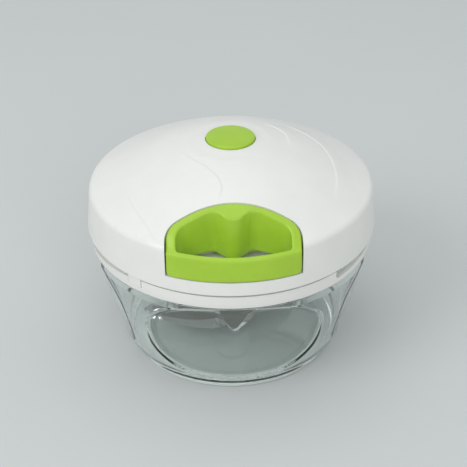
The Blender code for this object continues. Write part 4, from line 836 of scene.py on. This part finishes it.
def slot_cutter(name, azimuth):
    """The slot that starts at a tongue's notch and falls away from it under the seam."""
    inner, outer = RING_RADIUS - SLOT_DEPTH, RING_RADIUS + OVERRUN
    rings = []
    for run, drop in slot_stations():
        angle = azimuth - (TONGUE_WIDTH / 2 + run) / RING_RADIUS
        rings.append([(radius * cos(angle), radius * sin(angle), SEAM_Z - depth)
                      for radius, depth in ((inner, 0), (outer, 0), (outer, drop), (inner, drop))])
    return lofted_rod(name, rings)


def make_lid_base():
    """The ring under the seam, and the plate inside it with the seal's rib and the bush's collar."""
    upstand = COVER_RADIUS - COVER_WALL - UPSTAND_CLEARANCE
    upstand_inside, upstand_top = upstand - UPSTAND_WALL, RING_HIGH.z
    ring_inside, ring_top = RING_RADIUS - RING_WALL, SEAM_Z - GAP
    rib, rib_bottom = NECK_INSIDE - SEAL_ROOM, PLATE_Z - SEAL_RIB_HEIGHT
    collar, collar_bottom = COLLAR_INSIDE + COLLAR_WALL, PLATE_Z - COLLAR_HEIGHT
    groove_height, groove_depth = SEAM_GROOVE
    mouth_z = ring_top - groove_height
    lip_foot, lip_top = groove_depth / 3, groove_depth / 4
    base = turned("base_ring", rounded([
        (BUSH_HOLE, PLATE_TOP_Z, 0), (upstand_inside, PLATE_TOP_Z, MOULDED_EDGE),
        (upstand_inside, upstand_top, MOULDED_EDGE), (upstand, upstand_top, MOULDED_EDGE),
        (upstand, ring_top, 0), (RING_RADIUS - groove_depth, ring_top, 0),
        (RING_RADIUS - groove_depth, mouth_z - SEAM_POCKET, 0),
        (RING_RADIUS - lip_foot, mouth_z - SEAM_POCKET, 0),
        (RING_RADIUS - lip_top, mouth_z, POCKET_EDGE), (RING_RADIUS, mouth_z, GROOVE_EDGE),
        (RING_RADIUS, RING_LOW.z, RING_FILLET),
        (ring_inside, RING_LOW.z, MOULDED_EDGE), (ring_inside, PLATE_Z, 0), (rib, PLATE_Z, 0),
        (rib, rib_bottom, MOULDED_EDGE), (rib - SEAL_RIB_WALL, rib_bottom, MOULDED_EDGE),
        (rib - SEAL_RIB_WALL, PLATE_Z, MOULDED_EDGE), (collar, PLATE_Z, MOULDED_EDGE),
        (collar, collar_bottom, MOULDED_EDGE), (COLLAR_INSIDE, collar_bottom, MOULDED_EDGE),
        (COLLAR_INSIDE, PLATE_Z, 0), (BUSH_HOLE, PLATE_Z, 0)], COARSE_ARC_STEPS))
    notches = tongue_blocks("notch", RING_RADIUS + TONGUE_STANDOUT - TONGUE_THICKNESS - GAP,
                            RING_RADIUS + OVERRUN, TONGUE_WIDTH + 2 * GAP,
                            SEAM_Z - TONGUE_HEIGHT - GAP, SEAM_Z + OVERRUN)
    holes = [cylinder(f"hole_{circle:.3f}_{i}", SCREW_HOLE, PLATE_Z - OVERRUN,
                      PLATE_TOP_Z + OVERRUN, place, HOLE_STEPS)
             for circle in (LEG_CIRCLE, BOSS_CIRCLE)
             for i, place in enumerate(around(SCREW_COUNT, circle, pi / 2))]
    slots = [slot_cutter(f"slot_{i}", TONGUE_AZIMUTH + 2 * pi * i / TONGUE_COUNT)
             for i in range(TONGUE_COUNT)]
    finished(cut(base, *notches, *slots, *holes), white, "white_plastic", "lid", "lid_base")


def make_button():
    """A crowned cap, and under it the stem whose head holds it in the well."""
    edge_z, under = BUTTON_HIGH.z - BUTTON_CROWN, BUTTON_HIGH.z - BUTTON_THICKNESS
    head, head_top = STEM_RADIUS + STEM_HEAD_WIDTH, BUTTON_LOW.z + STEM_HEAD
    radii = np.linspace(0, BUTTON_RADIUS - 2 * BUTTON_FILLET, BUTTON_ROWS)
    crown = [(r, BUTTON_HIGH.z - BUTTON_CROWN * (r / BUTTON_RADIUS) ** 2, 0) for r in radii]
    outline = rounded(crown + [
        (BUTTON_RADIUS, edge_z, BUTTON_FILLET), (BUTTON_RADIUS, under, MOULDED_EDGE),
        (STEM_RADIUS, under, 0), (STEM_RADIUS, head_top, 0), (head, head_top, 0),
        (head, BUTTON_LOW.z, 0), (0, BUTTON_LOW.z, 0)])
    finished(turned("button_cap", outline), green, "green_plastic", "button", "button")


# Handle

def skirt_radius(z):
    return COVER_RADIUS - SKIRT_DRAFT / CORNER_RISE * (z - SEAM_Z)


def handle_profile():
    """Profile of the handle's top, from the axis: over the dome, then down to the front bar."""
    bar_inside = COVER_RADIUS - HANDLE_BAR
    crest, bar_z = bar_inside - HANDLE_FALL_RUN, CORNER_Z - HANDLE_BAR_DROP
    front_z = bar_z - HANDLE_BAR_SLOPE
    radii = np.linspace(0, crest, DOME_ROWS)[:-CREST_ROWS]
    outline = rounded([(radius, dome_z(radius), 0) for radius in radii] + [
        (crest, dome_z(crest), HANDLE_TOP_RADIUS), (bar_inside, bar_z, HANDLE_TOP_RADIUS),
        (skirt_radius(front_z), front_z, 0), (COVER_RADIUS, SEAM_Z, 0), (0, SEAM_Z, 0)],
        FINE_ARC_STEPS)
    return np.array(outline[:-2])


def hole_outline(shoulder_share, lobe_share, lobe_radius, boss_share, boss_radius):
    """Plan of the finger hole: a bar that follows the skirt, sides, and two lobes beside the boss.

    The shares say how far back its shoulders, lobes and boss reach, of the hole's depth.
    """
    side, bar = HANDLE_HALF_WIDTH - HANDLE_SIDE, COVER_RADIUS - HANDLE_BAR
    front = [(x, -sqrt(bar ** 2 - x ** 2), 0)
             for x in side * np.linspace(-HOLE_FRONT_SHARE, HOLE_FRONT_SHARE, HOLE_FRONT_POINTS)]
    front_y = -sqrt(bar ** 2 - side ** 2)
    depth = HANDLE_BACK_Y - HANDLE_REAR - front_y
    right = [(side, front_y, HOLE_FRONT_RADIUS),
             (side, front_y + depth * shoulder_share, HOLE_SHOULDER_RADIUS),
             (LOBE_X, front_y + depth * lobe_share, lobe_radius)]
    boss = [(0, front_y + depth * boss_share, boss_radius)]
    return rounded(front + right + boss + mirrored(right), HOLE_ARC_STEPS)


def resampled(outline, count):
    """Points evenly spaced along a closed outline."""
    points = np.array(outline + outline[:1])
    lengths = np.concatenate([[0], np.cumsum(np.linalg.norm(np.diff(points, axis=0), axis=1))])
    wanted = np.linspace(0, lengths[-1], count, endpoint=False)
    return np.stack([np.interp(wanted, lengths, points[:, i]) for i in (0, 1)], axis=1)


def ray_to_outline(centre, directions, outline):
    """Distance from a point to a closed outline along each direction."""
    starts = np.array(outline)
    spans = np.roll(starts, -1, axis=0) - starts
    away = starts - centre
    found = []
    for x, y in directions:
        crossing = x * spans[:, 1] - y * spans[:, 0]
        crossing = np.where(np.abs(crossing) < PARALLEL, PARALLEL, crossing)
        reach = (away[:, 0] * spans[:, 1] - away[:, 1] * spans[:, 0]) / crossing
        share = (away[:, 0] * y - away[:, 1] * x) / crossing
        hits = reach[(share >= -SHARE_SLACK) & (share <= 1 + SHARE_SLACK) & (reach > 0)]
        found.append(hits.min())
    return np.array(found)


def make_handle():
    """Rings from the foot up the outside, in over the top, down the finger hole and back underneath."""
    centre = np.array((0.0, HANDLE_BACK_Y - HANDLE_CENTRE))
    foot_hole = resampled(hole_outline(*HOLE_AT_FOOT), HANDLE_POINTS)
    inner_foot = np.linalg.norm(foot_hole - centre, axis=1)
    directions = (foot_hole - centre) / inner_foot[:, None]
    inner_top = ray_to_outline(centre, directions, hole_outline(*HOLE_AT_TOP))
    plan = ray_to_outline(centre, directions, recess_outline(0))
    profile = handle_profile()
    front_z = profile[-1, 1]
    along = directions @ centre
    rings = []

    def at(reach):
        return centre + directions * reach[:, None]

    def top_z(reach):
        points = at(reach)
        from_back = (points[:, 1] - HANDLE_BACK_Y) / HANDLE_PROUD_RUN
        proud = HANDLE_PROUD * smoothstep(from_back + 2)
        return np.interp(np.linalg.norm(points, axis=1), profile[:, 0], profile[:, 1]) + proud

    def outer(z):
        """Reach of the outside at each height: the recess's plan, cut by the skirt."""
        skirt = skirt_radius(np.minimum(z, front_z))
        round_reach = -along + np.sqrt(along ** 2 - centre @ centre + skirt ** 2)
        mixed = np.clip(0.5 + (round_reach - plan) / (2 * HANDLE_CORNER_BLEND), 0, 1)
        return round_reach * (1 - mixed) + plan * mixed - HANDLE_CORNER_BLEND * mixed * (1 - mixed)

    def foot_z(reach):
        """Height of the foot, which is lowest under the bar and rises behind it and to its corners."""
        points = at(reach)
        lifted = smoothstep((points[:, 1] + COVER_RADIUS - 2 * HANDLE_BAR) / HANDLE_LIFT_RUN)
        to_side = np.abs(points[:, 0]) - HANDLE_HALF_WIDTH
        corner = np.clip((to_side + HANDLE_CORNER_RUN) / HANDLE_CORNER_RUN, 0, 1)
        return HANDLE_LOW.z + np.maximum(HANDLE_UNDERCUT * lifted, HANDLE_CORNER_RISE * corner ** 2)

    def ring(reach, z):
        rings.append(np.column_stack([at(reach), z]))

    reach = outer(np.full(HANDLE_POINTS, front_z))
    wall_top = top_z(reach)
    foot = foot_z(reach)
    for turn in np.linspace(0, pi / 2, FOOT_RINGS):
        ring(outer(foot) - HANDLE_FOOT_EDGE * (1 - sin(turn)),
             foot + HANDLE_FOOT_EDGE * (1 - cos(turn)))
    for share in np.linspace(0, 1, SIDE_RINGS)[1:]:
        z = foot + HANDLE_FOOT_EDGE + (wall_top - foot - HANDLE_FOOT_EDGE - HANDLE_EDGE) * share
        ring(outer(z), z)
    for turn in np.linspace(0, pi / 2, EDGE_RINGS)[1:]:
        across = reach - HANDLE_EDGE * (1 - cos(turn))
        ring(across, top_z(across) - HANDLE_EDGE * (1 - sin(turn)))
    for share in np.linspace(0, 1, TOP_RINGS)[1:]:
        across = (reach - HANDLE_EDGE) * (1 - share) + (inner_top + HOLE_EDGE) * share
        ring(across, top_z(across))
    for turn in np.linspace(0, pi / 2, HOLE_EDGE_RINGS)[1:]:
        across = inner_top + HOLE_EDGE * (1 - sin(turn))
        ring(across, top_z(across) - HOLE_EDGE * (1 - cos(turn)))
    hole_top, hole_foot = rings[-1][:, 2], foot_z(inner_foot) + HANDLE_FOOT_EDGE
    for share in np.linspace(0, 1, HOLE_SIDE_RINGS)[1:]:
        ring(inner_top + (inner_foot - inner_top) * share,
             hole_top + (hole_foot - hole_top) * share)
    across = inner_foot + HANDLE_FOOT_EDGE
    ring(across, foot_z(across))
    across = (across + outer(foot) - HANDLE_FOOT_EDGE) / 2
    ring(across, foot_z(across))
    handle = lofted_loop("handle_grip", rings)
    knot_y = HANDLE_BACK_Y - KNOT_INSET
    pocket = cylinder("knot_pocket", KNOT_POCKET, HANDLE_LOW.z - OVERRUN,
                      HANDLE_LOW.z + POCKET_DEPTH, (0, knot_y))
    bore = cylinder("cord_bore", CORD_RADIUS + GAP, -KNOT_INSET, OVERRUN, steps=BORE_STEPS)
    bore.data.transform(Matrix.Translation((0, HANDLE_BACK_Y, CORD_Z)) @
                        Matrix.Rotation(-pi / 2, 4, "X"))
    finished(cut(handle, pocket, bore), green, "green_plastic", "handle", "handle")


# Cord

def cord_route():
    """The turns on the spool, then the run through the guide to the handle's back."""
    start_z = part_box("pull_cord")[0].z + CORD_RADIUS
    inside_y = RECESS_BACK_Y + RECESS_WALL + GUIDE_REACH
    leave = -pi / 2 - acos(WINDING_RADIUS / -inside_y)
    route = []
    for i in range(round(CORD_TURNS * CORD_POINTS_PER_TURN), -1, -1):
        turns = i / CORD_POINTS_PER_TURN
        angle = leave - 2 * pi * turns
        route.append(Vector((WINDING_RADIUS * cos(angle), WINDING_RADIUS * sin(angle),
                             start_z + CORD_PITCH * turns)))
    leaving, inside = route[-1], Vector((0, inside_y, CORD_Z))
    for i in range(1, CORD_RUN_POINTS + 1):
        share = i / CORD_RUN_POINTS
        point = leaving.lerp(inside, share)
        point.z = leaving.z + (inside.z - leaving.z) * share ** 3 * (4 - 3 * share)
        route.append(point)
    end = Vector((0, HANDLE_BACK_Y + GAP / 2, CORD_Z))
    for i in range(1, CORD_END_POINTS + 1):
        route.append(inside.lerp(end, i / CORD_END_POINTS))
    return route


def strand(name, route, radius, look):
    """A round strand along a route of points."""
    curve = bpy.data.curves.new(name, "CURVE")
    curve.dimensions = "3D"
    curve.bevel_depth = radius
    curve.bevel_resolution = STRAND_RESOLUTION
    curve.use_fill_caps = True
    spline = curve.splines.new("POLY")
    spline.points.add(len(route) - 1)
    for point, place in zip(spline.points, route):
        point.co = (*place, 1)
    made = baked(add_object(name, curve))
    made.data.shade_smooth()
    made.data.materials.append(look)
    return made


def make_cord():
    line = strand("pull_line", cord_route(), CORD_RADIUS, braid)
    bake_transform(line)
    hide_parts("pull_cord")


def make_button_coil():
    """The button's return spring, whose foot stays in the well and whose top reaches up under the
    button.
    """
    low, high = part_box("button_spring")
    radius = high.x - COIL_WIRE_RADIUS
    bottom, top = low.z + COIL_WIRE_RADIUS, high.z - COIL_WIRE_RADIUS
    count = COIL_CURLS * COIL_POINTS_PER_CURL
    route = []
    for i in range(count + 1):
        angle = 2 * pi * i / COIL_POINTS_PER_CURL
        route.append((radius * cos(angle), radius * sin(angle), bottom + (top - bottom) * i / count))
    coil = strand("button_coil", route, COIL_WIRE_RADIUS, spring_steel)
    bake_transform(coil)
    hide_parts("button_spring")


# The other pieces keep their solids, with a finish of their own

CARRIED = (
    (milky, ("seal_ring", "shaft_seal", "vent_plug")),
    (steel, ("spindle_pin", "axle_pin", "cord_guide", "pawl_1", "pawl_2", "pawl_pin_1", "pawl_pin_2",
             "cover_screw_1", "cover_screw_2", "cover_screw_3", "frame_screw_1", "frame_screw_2",
             "frame_screw_3", "thrust_washer")),
    (spring_steel, ("recoil_spring",)),
    (grey, ("cord_spool", "spring_cover", "drive_shaft", "shaft_bush")),
    (white, ("mechanism_frame",)),
    (braid, ("cord_knot",)),
)


def dress_solids():
    for look, names in CARRIED:
        for name in names:
            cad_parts[name].material_slots[0].material = look


# Studio

def aimed(place, target):
    """Placement of a camera or lamp that looks at a target."""
    return Matrix.Translation(place) @ (target - place).to_track_quat("-Z", "Y").to_matrix().to_4x4()


def make_camera():
    target = Vector((0, 0, SEAM_Z))
    level = CAMERA_DISTANCE * cos(CAMERA_ELEVATION)
    place = target + Vector((level * sin(CAMERA_AZIMUTH), -level * cos(CAMERA_AZIMUTH),
                             CAMERA_DISTANCE * sin(CAMERA_ELEVATION)))
    data = bpy.data.cameras.new("camera")
    data.sensor_width = SENSOR
    data.lens = FOCAL_PIXELS * SENSOR / IMAGE_PIXELS
    data.shift_x = (IMAGE_PIXELS / 2 - CENTRE_PIXEL[0]) / IMAGE_PIXELS
    data.shift_y = (CENTRE_PIXEL[1] - IMAGE_PIXELS / 2) / IMAGE_PIXELS
    camera = add_object("camera", data)
    camera.matrix_world = aimed(place, target) @ Matrix.Rotation(CAMERA_ROLL, 4, "Z")
    bpy.context.scene.camera = camera


def make_lamp(name, place, size, power):
    data = bpy.data.lights.new(name, "AREA")
    data.shape = "DISK"
    data.size = size
    data.energy = power
    add_object(name, data).matrix_world = aimed(Vector(place), Vector((0, 0, SEAM_Z)))


def make_studio():
    reach, corner = STAGE_REACH, STAGE_CORNER
    outline = rounded([(-reach, -reach, corner), (reach, -reach, corner), (reach, reach, corner),
                       (-reach, reach, corner)])
    floor = extruded("floor", outline, STAGE_BOTTOM_Z, STAGE_TOP_Z)
    floor.data.materials.append(pale)
    world = bpy.data.worlds.new("studio")
    world.use_nodes = True
    background = world.node_tree.nodes["Background"]
    background.inputs["Color"].default_value = WORLD_COLOUR
    background.inputs["Strength"].default_value = WORLD_STRENGTH
    bpy.context.scene.world = world
    for name, (place, size, power) in LAMPS.items():
        make_lamp(name, place, size, power)
    bpy.context.scene.view_settings.view_transform = "Standard"


make_camera()
make_bowl()
make_foot_ring()
make_blade_unit()
make_cover()
for swirl_name, swirl_points in SWIRLS.items():
    make_swirl(swirl_name, swirl_points)
make_lid_base()
make_button()
make_handle()
make_cord()
make_button_coil()
dress_solids()
make_studio()
